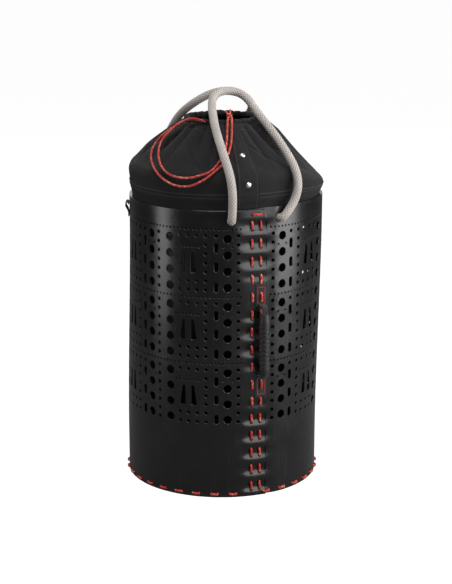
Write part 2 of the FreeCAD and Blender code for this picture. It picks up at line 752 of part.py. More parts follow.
def side_handle_stitching():
    """The box of thread on each patch."""
    made = []
    half = math.degrees(BOX_W / 2 / WALL_R)
    line = math.degrees(THREAD / WALL_R)
    inner, outer = WALL_R + PATCH_T + 0.02, WALL_R + PATCH_T + THREAD
    for low in (BOX_TOP_Z, BOX_LOW_Z - BOX_H):
        high = low + BOX_H
        frame = sector(inner, outer, HOLD_AZ - half, HOLD_AZ + half, low, high)
        window = sector(
            inner - 1,
            outer + 1,
            HOLD_AZ - half + line,
            HOLD_AZ + half - line,
            low + THREAD,
            high - THREAD,
        )
        made.append(frame.cut(window))
    return made


# ---------------------------------------------------------------- strap loops
def strap_loop(azimuth):
    """A small webbing loop on the wall just under the rim."""
    low, high = WALL_H - LOOP_DROPS[0], WALL_H - LOOP_DROPS[1]
    inner = WALL_R + 0.1
    outline = [
        (inner, low),
        (inner + LOOP_T, low),
        (inner + LOOP_OUT, high - 7),
        (inner + LOOP_OUT, high - 2.5),
        (inner + LOOP_OUT - 2, high),
        (inner, high),
    ]
    half = math.degrees(LOOP_W / 2 / WALL_R)
    body = revolved(outline, azimuth - half, 2 * half)
    window = [
        (inner + LOOP_T, low + 5),
        (inner + LOOP_OUT - LOOP_T, high - 6.5),
        (inner + LOOP_OUT - LOOP_T, high - LOOP_T - 1),
        (inner + LOOP_T, high - LOOP_T),
    ]
    return body.cut(revolved(window, azimuth - 2 * half, 4 * half))


# ---------------------------------------------------------------- build
export("wall_sheet", wall_sheet())
export("base_tray", base_tray())
export("base_lacing", base_lacing())
export("seam_lacing", seam_lacing())
export("collar_fabric", collar_fabric())
export("collar_placket", collar_placket())
export("collar_binding", collar_binding())
export("collar_hem", collar_hem())
export("drawstring_in_hem", drawstring_in_hem())
export("drawstring_outer", cord("drawstring_outer", CORD_OUTER, CORD_D))
export("drawstring_inner", cord("drawstring_inner", CORD_INNER, CORD_D))
export("drawstring_knot", Part.makeSphere(CORD_KNOT_R, V(*CORD_KNOT)))
export("collar_rivets", rivets())
export("rivet_backs", rivet_backs())
export("inner_tie_loop", inner_tie_loop())
export("front_handle_rope", handle_rope("front_handle_rope", FRONT_HANDLE))
export("rear_handle_rope", handle_rope("rear_handle_rope", REAR_HANDLE))
export("front_handle_knots", handle_knots(0))
export("rear_handle_knots", handle_knots(180))
export("side_handle_top_patch", patch(PATCH_TOP_Z, PATCH_TOP_Z))
export("side_handle_bottom_patch", patch(PATCH_LOW_Z - PATCH_H, PATCH_LOW_Z - PAD_H))
export("side_handle_strap", side_handle_strap())
export("side_handle_grip", side_handle_grip())
export("side_handle_stitching", side_handle_stitching())
export("strap_loop_left", strap_loop(-LOOP_AZ))
export("strap_loop_right", strap_loop(LOOP_AZ))
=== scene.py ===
"""Looks of the rope storage bag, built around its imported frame.

Metres, +Z up, the origin at the centre of the underside. The laced seam faces -Y.
Azimuths are in degrees about Z, 0 at the seam and positive towards +X.
"""

import logging
import math
from dataclasses import dataclass
from enum import Enum
from typing import Optional, Sequence, Union

import bpy
import numpy as np
from mathutils.geometry import delaunay_2d_cdt
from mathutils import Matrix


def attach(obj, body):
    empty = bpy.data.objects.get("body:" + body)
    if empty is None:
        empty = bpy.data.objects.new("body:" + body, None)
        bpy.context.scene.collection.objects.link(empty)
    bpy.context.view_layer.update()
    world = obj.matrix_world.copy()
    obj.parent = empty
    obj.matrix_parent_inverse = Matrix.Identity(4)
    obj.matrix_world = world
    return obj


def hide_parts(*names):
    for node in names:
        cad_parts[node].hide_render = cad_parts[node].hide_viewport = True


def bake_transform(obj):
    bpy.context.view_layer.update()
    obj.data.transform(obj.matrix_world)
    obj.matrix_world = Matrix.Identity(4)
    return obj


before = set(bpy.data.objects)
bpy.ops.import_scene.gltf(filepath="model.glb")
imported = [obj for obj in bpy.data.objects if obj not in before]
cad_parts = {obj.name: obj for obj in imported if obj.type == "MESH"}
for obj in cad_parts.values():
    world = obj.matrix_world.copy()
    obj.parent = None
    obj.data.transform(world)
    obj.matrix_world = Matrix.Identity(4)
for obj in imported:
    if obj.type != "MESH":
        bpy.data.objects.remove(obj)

LOG = logging.getLogger("rope_bag")
WALL_R = 0.140  # outside radius of the wall
WALL_H = 0.418  # height of the wall
SHEET = 0.002  # thickness of the wall sheet

Socket = bpy.types.NodeSocket
Value = Union[Socket, float, Sequence[float]]
Route = Sequence[tuple[float, float, float]]

FRONT_HANDLE: Route = (
    (-0.0374, -0.1414, 0.404), (-0.037, -0.1435, 0.424), (-0.0375, -0.145, 0.446), (-0.0395, -0.14, 0.468),
    (-0.041, -0.126, 0.486), (-0.0405, -0.107, 0.502), (-0.039, -0.088, 0.516), (-0.0365, -0.07, 0.528),
    (-0.0325, -0.053, 0.539), (-0.028, -0.0355, 0.5465), (-0.022, -0.0215, 0.557), (-0.011, -0.0125, 0.564),
    (0.004, -0.0095, 0.5665), (0.019, -0.0125, 0.564), (0.03, -0.022, 0.5565), (0.038, -0.04, 0.5385),
    (0.0435, -0.058, 0.5255), (0.049, -0.078, 0.512), (0.053, -0.097, 0.499), (0.057, -0.116, 0.4845),
    (0.061, -0.132, 0.467), (0.0625, -0.1375, 0.448), (0.058, -0.139, 0.431), (0.048, -0.141, 0.416),
    (0.0374, -0.1414, 0.404),
)
REAR_HANDLE: Route = (
    (0.0374, 0.1414, 0.404), (0.0385, 0.144, 0.424), (0.042, 0.144, 0.446), (0.048, 0.137, 0.467),
    (0.054, 0.1215, 0.484), (0.06, 0.104, 0.498), (0.0655, 0.086, 0.51), (0.0685, 0.0675, 0.521),
    (0.066, 0.05, 0.532), (0.058, 0.035, 0.542), (0.047, 0.024, 0.551), (0.034, 0.016, 0.558),
    (0.019, 0.011, 0.5625), (0.003, 0.0095, 0.5635), (-0.012, 0.013, 0.56), (-0.025, 0.022, 0.552),
    (-0.034, 0.036, 0.542), (-0.0385, 0.054, 0.532), (-0.041, 0.073, 0.521), (-0.042, 0.092, 0.508),
    (-0.042, 0.1095, 0.495), (-0.041, 0.1255, 0.4815), (-0.0395, 0.139, 0.466), (-0.0385, 0.145, 0.446),
    (-0.0378, 0.144, 0.424), (-0.0374, 0.1414, 0.404),
)
CORD_OUTER: Route = (
    (-0.043, -0.036, 0.528), (-0.052, -0.034, 0.5315), (-0.062, -0.024, 0.53), (-0.072, -0.015, 0.5235),
    (-0.084, -0.0095, 0.514), (-0.097, -0.009, 0.504), (-0.109, -0.017, 0.494), (-0.117, -0.031, 0.485),
    (-0.121, -0.046, 0.477), (-0.122, -0.061, 0.47), (-0.1195, -0.076, 0.462), (-0.1125, -0.09, 0.455),
    (-0.1015, -0.101, 0.4505), (-0.089, -0.112, 0.451), (-0.076, -0.121, 0.458), (-0.063, -0.1245, 0.4665),
    (-0.05, -0.12, 0.4745), (-0.037, -0.114, 0.4825), (-0.024, -0.0995, 0.498), (-0.0165, -0.085, 0.511),
    (-0.011, -0.071, 0.523), (-0.0075, -0.0615, 0.531), (-0.0055, -0.0555, 0.5345),
)
CORD_INNER: Route = (
    (-0.0405, -0.0395, 0.528), (-0.0505, -0.0405, 0.533), (-0.0613, -0.031, 0.532), (-0.0705, -0.0215, 0.5255),
    (-0.081, -0.0155, 0.516), (-0.092, -0.016, 0.507), (-0.102, -0.026, 0.498), (-0.109, -0.04, 0.489),
    (-0.113, -0.055, 0.481), (-0.1145, -0.069, 0.474), (-0.112, -0.082, 0.4675), (-0.1055, -0.0935, 0.4635),
    (-0.096, -0.1035, 0.462), (-0.0855, -0.112, 0.463), (-0.0735, -0.118, 0.467), (-0.061, -0.12, 0.471),
    (-0.0495, -0.115, 0.478), (-0.041, -0.1085, 0.4865), (-0.031, -0.0995, 0.4955), (-0.024, -0.0865, 0.509),
    (-0.0185, -0.0725, 0.521), (-0.014, -0.062, 0.5295), (-0.0105, -0.054, 0.5345),
)


# ---------------------------------------------------------------- small geometry
def polar(radius, azimuth, z) -> np.ndarray:
    """Points at radii, azimuths in degrees and heights, which broadcast."""
    a = np.radians(azimuth)
    r, a, z = np.broadcast_arrays(radius, a, z)
    return np.stack([r * np.sin(a), -r * np.cos(a), z], axis=-1).astype(float)


def smooth(x, low: float, high: float) -> np.ndarray:
    """A smooth step from 0 at low to 1 at high."""
    t = np.clip((np.asarray(x, float) - low) / (high - low), 0, 1)
    return t * t * (3 - 2 * t)


def bump(x, centre: float, width: float) -> np.ndarray:
    """A bell about centre that is 1/e high a width away."""
    return np.exp(-(((np.asarray(x, float) - centre) / width) ** 2))


def resample(path: np.ndarray, step: float) -> np.ndarray:
    """A path's points, evenly spaced about a step apart.

    Args:
        path: The points of the path, one row each.
        step: The distance wanted between points.

    Returns:
        The new points, with both ends kept.
    """
    runs = np.linalg.norm(np.diff(path, axis=0), axis=1)
    at = np.concatenate([[0], np.cumsum(runs)])
    wanted = np.linspace(0, at[-1], max(2, int(round(at[-1] / step)) + 1))
    return np.stack([np.interp(wanted, at, path[:, k]) for k in range(path.shape[1])], axis=1)


def softened(points: Sequence[Sequence[float]], reach: float, steps: int = 6) -> np.ndarray:
    """An open line with its corners eased.

    Args:
        points: The corners of the line.
        reach: How far from a corner its easing starts, at most.
        steps: Points along each eased corner.

    Returns:
        The points of the eased line.
    """
    p = np.asarray(points, float)
    out = [p[0]]
    for a, b, c in zip(p, p[1:], p[2:]):
        back, on = a - b, c - b
        lb, lo = np.linalg.norm(back), np.linalg.norm(on)
        cut = min(reach, 0.49 * lb, 0.49 * lo)
        first, last = b + back * cut / lb, b + on * cut / lo
        for t in np.linspace(0, 1, steps):
            out.append((1 - t) ** 2 * first + 2 * t * (1 - t) * b + t * t * last)
    out.append(p[-1])
    return np.array(out)


def spline_points(route: Route, step: float) -> np.ndarray:
    """The points along the smooth line of a route's NURBS spline.

    Args:
        route: The spline's control points.
        step: The distance between the points handed back.

    Returns:
        Evenly spaced points along the spline.
    """
    data = bpy.data.curves.new("route", "CURVE")
    data.dimensions = "3D"
    data.resolution_u = 24
    spline = data.splines.new("NURBS")
    spline.points.add(len(route) - 1)
    for point, place in zip(spline.points, route):
        point.co = (*place, 1.0)
    spline.order_u = 3
    spline.use_endpoint_u = True
    holder = bpy.data.objects.new("route", data)
    line = bpy.data.meshes.new_from_object(holder)
    points = np.array([v.co for v in line.vertices], float)
    bpy.data.meshes.remove(line)
    bpy.data.objects.remove(holder)
    bpy.data.curves.remove(data)
    return resample(points, step)


def carried_frames(path: np.ndarray, hint: Sequence[float]) -> tuple[np.ndarray, np.ndarray]:
    """Two directions across a path at each of its points, carried along without twist.

    Args:
        path: The points of the path.
        hint: A direction that the first one starts near.

    Returns:
        The two directions, as unit vectors.
    """
    tangent = np.gradient(path, axis=0)
    tangent /= np.linalg.norm(tangent, axis=1)[:, None]
    side = np.asarray(hint, float)
    first = np.empty_like(path)
    for i, t in enumerate(tangent):
        side = side - side.dot(t) * t
        side /= np.linalg.norm(side)
        first[i] = side
    return first, np.cross(tangent, first)


class Draft:
    """Vertices, faces and UVs gathered for the mesh of one piece."""

    def __init__(self) -> None:
        """Start with nothing."""
        self.points: list[np.ndarray] = []
        self.faces: list[np.ndarray] = []
        self.uvs: list[np.ndarray] = []
        self.marks: list[np.ndarray] = []
        self.count = 0

    def put(self, points: np.ndarray) -> int:
        """Add points and return the number of the first."""
        start = self.count
        flat = np.asarray(points, float).reshape(-1, 3)
        self.points.append(flat)
        self.count += len(flat)
        return start

    def face(self, corners: np.ndarray, uv: np.ndarray, mark: int = 0) -> None:
        """Add faces that all have the same number of corners.

        Args:
            corners: Vertex numbers, one row a face.
            uv: The UV of each corner, in the same order.
            mark: The material slot of the faces.
        """
        self.faces.append(np.asarray(corners, np.int64))
        self.uvs.append(np.asarray(uv, float))
        self.marks.append(np.full(len(corners), mark))

    def grid(self, points: np.ndarray, us, vs, wrap_u: bool = False, wrap_v: bool = False,
             flip: bool = False, mark: int = 0) -> int:
        """Add a quad surface over a grid of points.

        Args:
            points: The points, as rows along u and columns along v.
            us: The U of each row, with one more when the rows wrap round.
            vs: The V of each column, with one more when the columns wrap round.
            wrap_u: Whether the last row joins the first.
            wrap_v: Whether the last column joins the first.
            flip: Whether the faces turn the other way.
            mark: The material slot of the faces.

        Returns:
            The number of the first vertex.
        """
        n, m = points.shape[:2]
        start = self.put(points)
        us, vs = np.asarray(us, float), np.asarray(vs, float)
        i, j = np.meshgrid(np.arange(n if wrap_u else n - 1), np.arange(m if wrap_v else m - 1), indexing="ij")
        i, j = i.ravel(), j.ravel()
        ahead, beside = (i + 1) % n, (j + 1) % m
        corners = np.stack([i * m + j, ahead * m + j, ahead * m + beside, i * m + beside], axis=1) + start
        uv = np.stack([
            np.stack([us[i], vs[j]], axis=1), np.stack([us[i + 1], vs[j]], axis=1),
            np.stack([us[i + 1], vs[j + 1]], axis=1), np.stack([us[i], vs[j + 1]], axis=1),
        ], axis=1)
        if flip:
            corners, uv = corners[:, ::-1], uv[:, ::-1]
        self.face(corners, uv, mark)
        return start

    def lid(self, ring: np.ndarray, flip: bool = False, mark: int = 0) -> None:
        """Close a ring of vertices with one face."""
        ring = np.asarray(ring)[::-1] if flip else np.asarray(ring)
        self.face(ring[None, :], np.zeros((1, len(ring), 2)), mark)

    def sweep(self, path: np.ndarray, section: np.ndarray, hint: Sequence[float],
              along: Optional[np.ndarray] = None, mark: int = 0) -> None:
        """Add a closed section carried along an open path, with flat ends.

        Args:
            path: The points of the path.
            section: (m, 2) or (n, m, 2) offsets along the two carried directions.
            hint: The direction that the section's first axis starts near.
            along: The U of each path point, which is its distance if left out.
            mark: The material slot of the faces.
        """
        first, second = carried_frames(path, hint)
        section = np.broadcast_to(section, (len(path), *section.shape[-2:]))
        points = (path[:, None] + section[..., :1] * first[:, None] + section[..., 1:] * second[:, None])
        if along is None:
            runs = np.linalg.norm(np.diff(path, axis=0), axis=1)
            along = np.concatenate([[0], np.cumsum(runs)])
        m = points.shape[1]
        edge = np.linalg.norm(np.diff(section[0], axis=0, append=section[0][:1]), axis=1)
        across = np.concatenate([[0], np.cumsum(edge)])
        start = self.grid(points, along, across, wrap_v=True, flip=True, mark=mark)
        self.lid(np.arange(m) + start, mark=mark)
        self.lid(np.arange(m) + start + (len(path) - 1) * m, flip=True, mark=mark)

    def build(self, name: str, *materials: bpy.types.Material, sharp: float = 40.0) -> bpy.types.Object:
        """Make the object.

        Args:
            name: The piece's name.
            materials: The materials of its slots.
            sharp: Edges that turn more than this many degrees stay crisp.

        Returns:
            The new object, linked to the scene.
        """
        mesh = bpy.data.meshes.new(name)
        points = np.concatenate(self.points)
        loops = np.concatenate([f.ravel() for f in self.faces])
        totals = np.concatenate([np.full(len(f), f.shape[1]) for f in self.faces])
        starts = np.concatenate([[0], np.cumsum(totals)[:-1]])
        mesh.vertices.add(len(points))
        mesh.vertices.foreach_set("co", points.ravel())
        mesh.loops.add(len(loops))
        mesh.loops.foreach_set("vertex_index", loops.astype(np.int32))
        mesh.polygons.add(len(totals))
        mesh.polygons.foreach_set("loop_start", starts.astype(np.int32))
        mesh.polygons.foreach_set("material_index", np.concatenate(self.marks).astype(np.int32))
        mesh.update(calc_edges=True)
        layer = mesh.uv_layers.new(name="UVMap")
        layer.data.foreach_set("uv", np.concatenate([u.reshape(-1, 2) for u in self.uvs]).ravel())
        mesh.shade_smooth()
        mesh.set_sharp_from_angle(angle=math.radians(sharp))
        for material in materials:
            mesh.materials.append(material)
        piece = bpy.data.objects.new(name, mesh)
        bpy.context.scene.collection.objects.link(piece)
        LOG.info("%s: %d vertices, %d faces", name, len(points), len(totals))
        return piece


def settle(piece: bpy.types.Object, nodes: Sequence[str],
           body: Optional[str] = "root") -> bpy.types.Object:
    """Hide the frame's nodes that a piece stands for, and hang the piece on its body.

    Args:
        piece: The piece.
        nodes: The nodes that it stands for.
        body: The body that it rides on, or None to leave it unattached.

    Returns:
        The same piece.
    """
    if nodes:
        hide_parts(*nodes)
    if body:
        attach(piece, body)
    return piece


def rounded_box(width: float, depth: float, corner: float, steps: int = 3) -> np.ndarray:
    """The outline of a flat band's section, with rounded corners.

    Args:
        width: Its size along the first direction.
        depth: Its size along the second.
        corner: The radius of its corners.
        steps: The points on each corner, less one.

    Returns:
        The outline's points, anticlockwise.
    """
    out = []
    for quarter, (sx, sy) in enumerate(((1, 1), (-1, 1), (-1, -1), (1, -1))):
        for k in range(steps + 1):
            a = math.radians(90 * quarter + 90 * k / steps)
            out.append((sx * (width / 2 - corner) + corner * math.cos(a),
                        sy * (depth / 2 - corner) + corner * math.sin(a)))
    return np.array(out)


def thread_stitch() -> tuple[np.ndarray, np.ndarray, np.ndarray]:
    """One stitch of thread: its section, its places along a line and how high it bows at each."""
    a = np.arange(6) * np.pi / 3
    section = np.stack([np.cos(a), np.sin(a)], axis=1)
    return section, np.array([-0.5, -0.42, -0.15, 0.15, 0.42, 0.5]), np.array([0.15, 0.85, 1.0, 1.0, 0.85, 0.15])


def trefoil(t: np.ndarray) -> tuple[np.ndarray, np.ndarray, np.ndarray]:
    """The three coordinates of an overhand knot's line."""
    return np.sin(t) + 2 * np.sin(2 * t), np.cos(t) - 2 * np.cos(2 * t), -np.sin(3 * t)


@dataclass(frozen=True)
class Braid:
    """How a rope or lace is braided: its strands each way, their turn and how far they stand out."""

    strands: int
    pitch: float
    relief: float

    def height(self, along: np.ndarray, turns: np.ndarray) -> np.ndarray:
        """How far the strands stand out.

        Args:
            along: Distances along the rope.
            turns: Places round it, from 0 to 1.

        Returns:
            Heights from 0 to the relief.
        """
        a = self.strands * (turns + along / self.pitch)
        b = self.strands * (turns - along / self.pitch)
        over = (np.floor(a) + np.floor(b)) % 2 == 0
        across = np.where(over, a, b)
        under = np.where(over, b, a)
        ridge = np.sin(np.pi * (across - np.floor(across))) ** 0.6
        return self.relief * ridge * (0.45 + 0.55 * np.sin(np.pi * (under - np.floor(under))))


ROPE_BRAID = Braid(strands=8, pitch=0.040, relief=0.00080)
LACE_BRAID = Braid(strands=4, pitch=0.012, relief=0.00022)
CORD_BRAID = Braid(strands=4, pitch=0.010, relief=0.00018)


def braided_tube(draft: Draft, path: np.ndarray, radius: float, braid: Braid, sides: int,
                 hint: Sequence[float] = (0.3, 0.2, 1.0)) -> None:
    """Add a braided tube with rounded ends.

    Args:
        draft: Where the tube is added.
        path: Its centreline, evenly spaced.
        radius: The radius to the tops of its strands.
        braid: Its braid.
        sides: The points round it.
        hint: A direction across the path's start.
    """
    tangent_in = path[0] - path[1]
    tangent_out = path[-1] - path[-2]
    cap = np.radians([80, 60, 35, 12])
    lead = [path[0] + tangent_in / np.linalg.norm(tangent_in) * radius * math.sin(a) for a in cap]
    trail = [path[-1] + tangent_out / np.linalg.norm(tangent_out) * radius * math.sin(a) for a in cap[::-1]]
    line = np.array([*lead, *path, *trail])
    scale = np.concatenate([np.cos(cap), np.ones(len(path)), np.cos(cap[::-1])])
    runs = np.linalg.norm(np.diff(line, axis=0), axis=1)
    along = np.concatenate([[0], np.cumsum(runs)])
    turns = np.arange(sides) / sides
    bulge = braid.height(along[:, None], turns[None, :])
    r = (radius - braid.relief + bulge) * scale[:, None]
    first, second = carried_frames(line, hint)
    angle = 2 * np.pi * turns
    points = (line[:, None] + (r * np.cos(angle))[..., None] * first[:, None]
              + (r * np.sin(angle))[..., None] * second[:, None])
    start = draft.grid(points, along, np.arange(sides + 1) / sides, wrap_v=True, flip=True)
    draft.lid(np.arange(sides) + start)
    draft.lid(np.arange(sides) + start + (len(line) - 1) * sides, flip=True)


# ---------------------------------------------------------------- shader helpers
class Tree:
    """One node tree, with short ways to add and join nodes."""

    def __init__(self, tree: bpy.types.NodeTree) -> None:
        """Work on a tree."""
        self.tree = tree

    def put(self, kind: str, outlet: Union[str, int] = 0, **inputs: Value) -> Socket:
        """Add a node and hand back one of its outputs.

        Args:
            kind: The node's type, without its ShaderNode prefix.
            outlet: The name or number of the output.
            **inputs: Values or sockets by input name, with _ for a space, or
                at0, at1 and so on by number. Other words set the node's own options.

        Returns:
            The output.
        """
        node = self.tree.nodes.new("ShaderNode" + kind)
        for key, value in inputs.items():
            if key.startswith("at"):
                self.feed(node.inputs[int(key[2:])], value)
            elif key.replace("_", " ").title() in node.inputs:
                self.feed(node.inputs[key.replace("_", " ").title()], value)
            else:
                setattr(node, key, value)
        return node.outputs[outlet]

    def feed(self, inlet: Socket, value: Value) -> None:
        """Join a socket to an input, or set the input's value."""
        if isinstance(value, bpy.types.NodeSocket):
            self.tree.links.new(value, inlet)
        else:
            inlet.default_value = value

    def math(self, operation: str, a: Value, b: Value = 0.0) -> Socket:
        """One sum."""
        return self.put("Math", operation=operation, at0=a, at1=b)

    def span(self, value: Value, low: float, high: float, start: float = 0.0, end: float = 1.0) -> Socket:
        """A value carried from one range to another, held at its ends."""
        return self.put("MapRange", at0=value, at1=low, at2=high, at3=start, at4=end)

    def blend(self, amount: Value, a: Value, b: Value) -> Socket:
        """A colour between two."""
        node = self.tree.nodes.new("ShaderNodeMix")
        node.data_type = "RGBA"
        self.feed(node.inputs[0], amount)
        self.feed(node.inputs[6], a)
        self.feed(node.inputs[7], b)
        return node.outputs[2]

    def group(self, tree: bpy.types.NodeTree, **inputs: Value) -> bpy.types.Node:
        """Add a shared effect with its own values."""
        node = self.tree.nodes.new("ShaderNodeGroup")
        node.node_tree = tree
        for key, value in inputs.items():
            self.feed(node.inputs[key], value)
        return node

    def bump(self, height: Socket, distance: float, strength: float = 1.0) -> Socket:
        """A normal from a height."""
        return self.put("Bump", Height=height, Distance=distance, Strength=strength)


def effect(name: str, inputs: dict[str, Union[float, None]], outputs: Sequence[str]) -> tuple[Tree, dict, dict]:
    """Start a shared effect.

    Args:
        name: The group's name.
        inputs: The default of each number, and None for a vector.
        outputs: The names of its numbers.

    Returns:
        The tree, its inputs by name, and its output sockets by name.
    """
    tree = bpy.data.node_groups.new(name, "ShaderNodeTree")
    for key, default in inputs.items():
        kind = "NodeSocketVector" if default is None else "NodeSocketFloat"
        made = tree.interface.new_socket(name=key, in_out="INPUT", socket_type=kind)
        if default is not None:
            made.default_value = default
    for key in outputs:
        tree.interface.new_socket(name=key, in_out="OUTPUT", socket_type="NodeSocketFloat")
    start = tree.nodes.new("NodeGroupInput")
    end = tree.nodes.new("NodeGroupOutput")
    return Tree(tree), {k: start.outputs[k] for k in inputs}, {k: end.inputs[k] for k in outputs}


class Effects:
    """The effects that several materials share, each a shader node group."""

    def __init__(self) -> None:
        """Build every effect once."""
        self.grain = self.make_grain()
        self.weave = self.make_weave()
        self.braid = self.make_braid()
        self.wear = self.make_wear()
        self.dust = self.make_dust()

    @staticmethod
    def make_grain() -> bpy.types.NodeTree:
        """Fine moulded grain over broad cloudiness."""
        t, given, out = effect("grain", {"Place": None, "Scale": 600.0}, ("Fine", "Broad"))
        fine = t.put("TexNoise", Vector=given["Place"], Scale=given["Scale"], Detail=3.0, Roughness=0.6)
        low = t.math("MULTIPLY", given["Scale"], 0.02)
        broad = t.put("TexNoise", Vector=given["Place"], Scale=low, Detail=4.0, Roughness=0.55)
        t.feed(out["Fine"], fine)
        t.feed(out["Broad"], t.span(broad, 0.3, 0.7))
        return t.tree

    @staticmethod
    def make_weave() -> bpy.types.NodeTree:
        """Plain weave from UVs in metres: threads over and under each other, with shade painted between them in its
        tone.
        """
        t, given, out = effect("weave", {"UV": None, "Threads": 1800.0, "Slub": 0.3}, ("Height", "Tone"))
        parts = t.tree.nodes.new("ShaderNodeSeparateXYZ")
        t.feed(parts.inputs[0], given["UV"])
        u = t.math("MULTIPLY", parts.outputs[0], given["Threads"])
        v = t.math("MULTIPLY", parts.outputs[1], given["Threads"])
        warp = t.math("ABSOLUTE", t.math("SINE", t.math("MULTIPLY", u, math.pi)))
        weft = t.math("ABSOLUTE", t.math("SINE", t.math("MULTIPLY", v, math.pi)))
        even = t.math("PINGPONG", t.math("ADD", t.math("FLOOR", u), t.math("FLOOR", v)), 1.0)
        over = t.math("MULTIPLY", warp, even)
        under = t.math("MULTIPLY", weft, t.math("SUBTRACT", 1.0, even))
        height = t.math("ADD", over, under)
        uneven = t.put("TexNoise", Vector=given["UV"], Scale=90.0, Detail=4.0, Roughness=0.7)
        t.feed(out["Height"], t.math("ADD", height, t.math("MULTIPLY", uneven, given["Slub"])))
        # Tone: paler on the thread crowns and darker between threads, which is painted shade, mixed half and half
        # with random unevenness
        t.feed(out["Tone"], t.math("ADD", t.math("MULTIPLY", height, 0.5), t.math("MULTIPLY", uneven, 0.5)))
        return t.tree

    @staticmethod
    def make_braid() -> bpy.types.NodeTree:
        """Braided strands from UVs: distance along, and turns round."""
        start = {"UV": None, "Strands": 8.0, "Pitch": 0.04}
        t, given, out = effect("braid", start, ("Groove", "Fibre", "Fleck"))
        parts = t.tree.nodes.new("ShaderNodeSeparateXYZ")
        t.feed(parts.inputs[0], given["UV"])
        along = t.math("DIVIDE", parts.outputs[0], given["Pitch"])
        a = t.math("MULTIPLY", t.math("ADD", parts.outputs[1], along), given["Strands"])
        b = t.math("MULTIPLY", t.math("SUBTRACT", parts.outputs[1], along), given["Strands"])
        even = t.math("PINGPONG", t.math("ADD", t.math("FLOOR", a), t.math("FLOOR", b)), 1.0)
        odd = t.math("SUBTRACT", 1.0, even)
        across = t.math("ADD", t.math("MULTIPLY", a, odd), t.math("MULTIPLY", b, even))
        beside = t.math("ADD", t.math("MULTIPLY", b, odd), t.math("MULTIPLY", a, even))
        ridge = t.math("SINE", t.math("MULTIPLY", t.math("FRACT", across), math.pi))
        swell = t.math("SINE", t.math("MULTIPLY", t.math("FRACT", beside), math.pi))
        strand = t.math("FLOOR", t.math("ADD", across, t.math("MULTIPLY", even, 37.0)))
        chance = t.put("TexWhiteNoise", noise_dimensions="1D", W=strand)
        patch = t.put("TexNoise", Vector=given["UV"], Scale=70.0, Detail=2.0)
        threads = t.math("SINE", t.math("MULTIPLY", across, 40.0))
        swollen = t.math("ADD", t.math("MULTIPLY", swell, 0.4), 0.6)
        # Groove is high on the strands and low between them; the braided materials paint shade where it is low
        t.feed(out["Groove"], t.math("MULTIPLY", t.math("POWER", ridge, 0.6), swollen))
        t.feed(out["Fibre"], t.math("ADD", t.math("MULTIPLY", threads, 0.5), 0.5))
        t.feed(out["Fleck"], t.span(t.math("ADD", chance, t.math("MULTIPLY", patch, 0.25)), 0.86, 0.94))
        return t.tree

    @staticmethod
    def make_wear() -> bpy.types.NodeTree:
        """Paler edges, partly rubbed wear and partly a painted highlight, broken up by noise."""
        t, given, out = effect("wear", {"Place": None, "Scale": 120.0, "Amount": 0.5}, ("EdgeWearAndHighlight", "Scuff"))
        geometry = t.put("NewGeometry", outlet="Pointiness")
        # pointiness: convex edges and hole rims turn paler, partly wear and partly a painted highlight of edges
        # catching light
        edge = t.span(geometry, 0.53, 0.62)
        patch = t.put("TexNoise", Vector=given["Place"], Scale=given["Scale"], Detail=5.0, Roughness=0.7)
        broken = t.math("MULTIPLY", edge, t.span(patch, 0.35, 0.65))
        stretched = t.put("VectorMath", operation="MULTIPLY", at0=given["Place"], at1=(1.0, 1.0, 0.12))
        streak = t.put("TexNoise", Vector=stretched, Scale=given["Scale"], Detail=6.0, Roughness=0.75)
        t.feed(out["EdgeWearAndHighlight"], t.math("MULTIPLY", broken, given["Amount"]))
        t.feed(out["Scuff"], t.math("MULTIPLY", t.span(streak, 0.58, 0.72), given["Amount"]))
        return t.tree

    @staticmethod
    def make_dust() -> bpy.types.NodeTree:
        """Dust that lies on what faces up."""
        t, given, out = effect("dust", {"Place": None, "Scale": 60.0, "Amount": 0.2}, ("Dust",))
        normal = t.put("NewGeometry", outlet="Normal")
        parts = t.tree.nodes.new("ShaderNodeSeparateXYZ")
        t.feed(parts.inputs[0], normal)
        cloud = t.put("TexNoise", Vector=given["Place"], Scale=given["Scale"], Detail=6.0, Roughness=0.7)
        up = t.math("MULTIPLY", t.span(parts.outputs[2], 0.2, 1.0), t.span(cloud, 0.35, 0.7))
        t.feed(out["Dust"], t.math("MULTIPLY", up, given["Amount"]))
        return t.tree


def colour(r: float, g: float, b: float) -> tuple[float, float, float, float]:
    """An opaque linear colour."""
    return (r, g, b, 1.0)


def start_material(name: str, **inputs: Value) -> tuple[bpy.types.Material, Tree, bpy.types.Node]:
    """Start a material with its one surface shader.

    Args:
        name: The material's name.
        **inputs: Uniform values by the shader's input names, with _ for a space.

    Returns:
        The material, its tree and its surface shader.
    """
    material = bpy.data.materials.new(name)
    material.use_nodes = True
    material.node_tree.nodes.clear()
    tree = Tree(material.node_tree)
    surface = material.node_tree.nodes.new("ShaderNodeBsdfPrincipled")
    output = material.node_tree.nodes.new("ShaderNodeOutputMaterial")
    tree.feed(output.inputs["Surface"], surface.outputs[0])
    for key, value in inputs.items():
        surface.inputs[key.replace("_", " ")].default_value = value
    return material, tree, surface


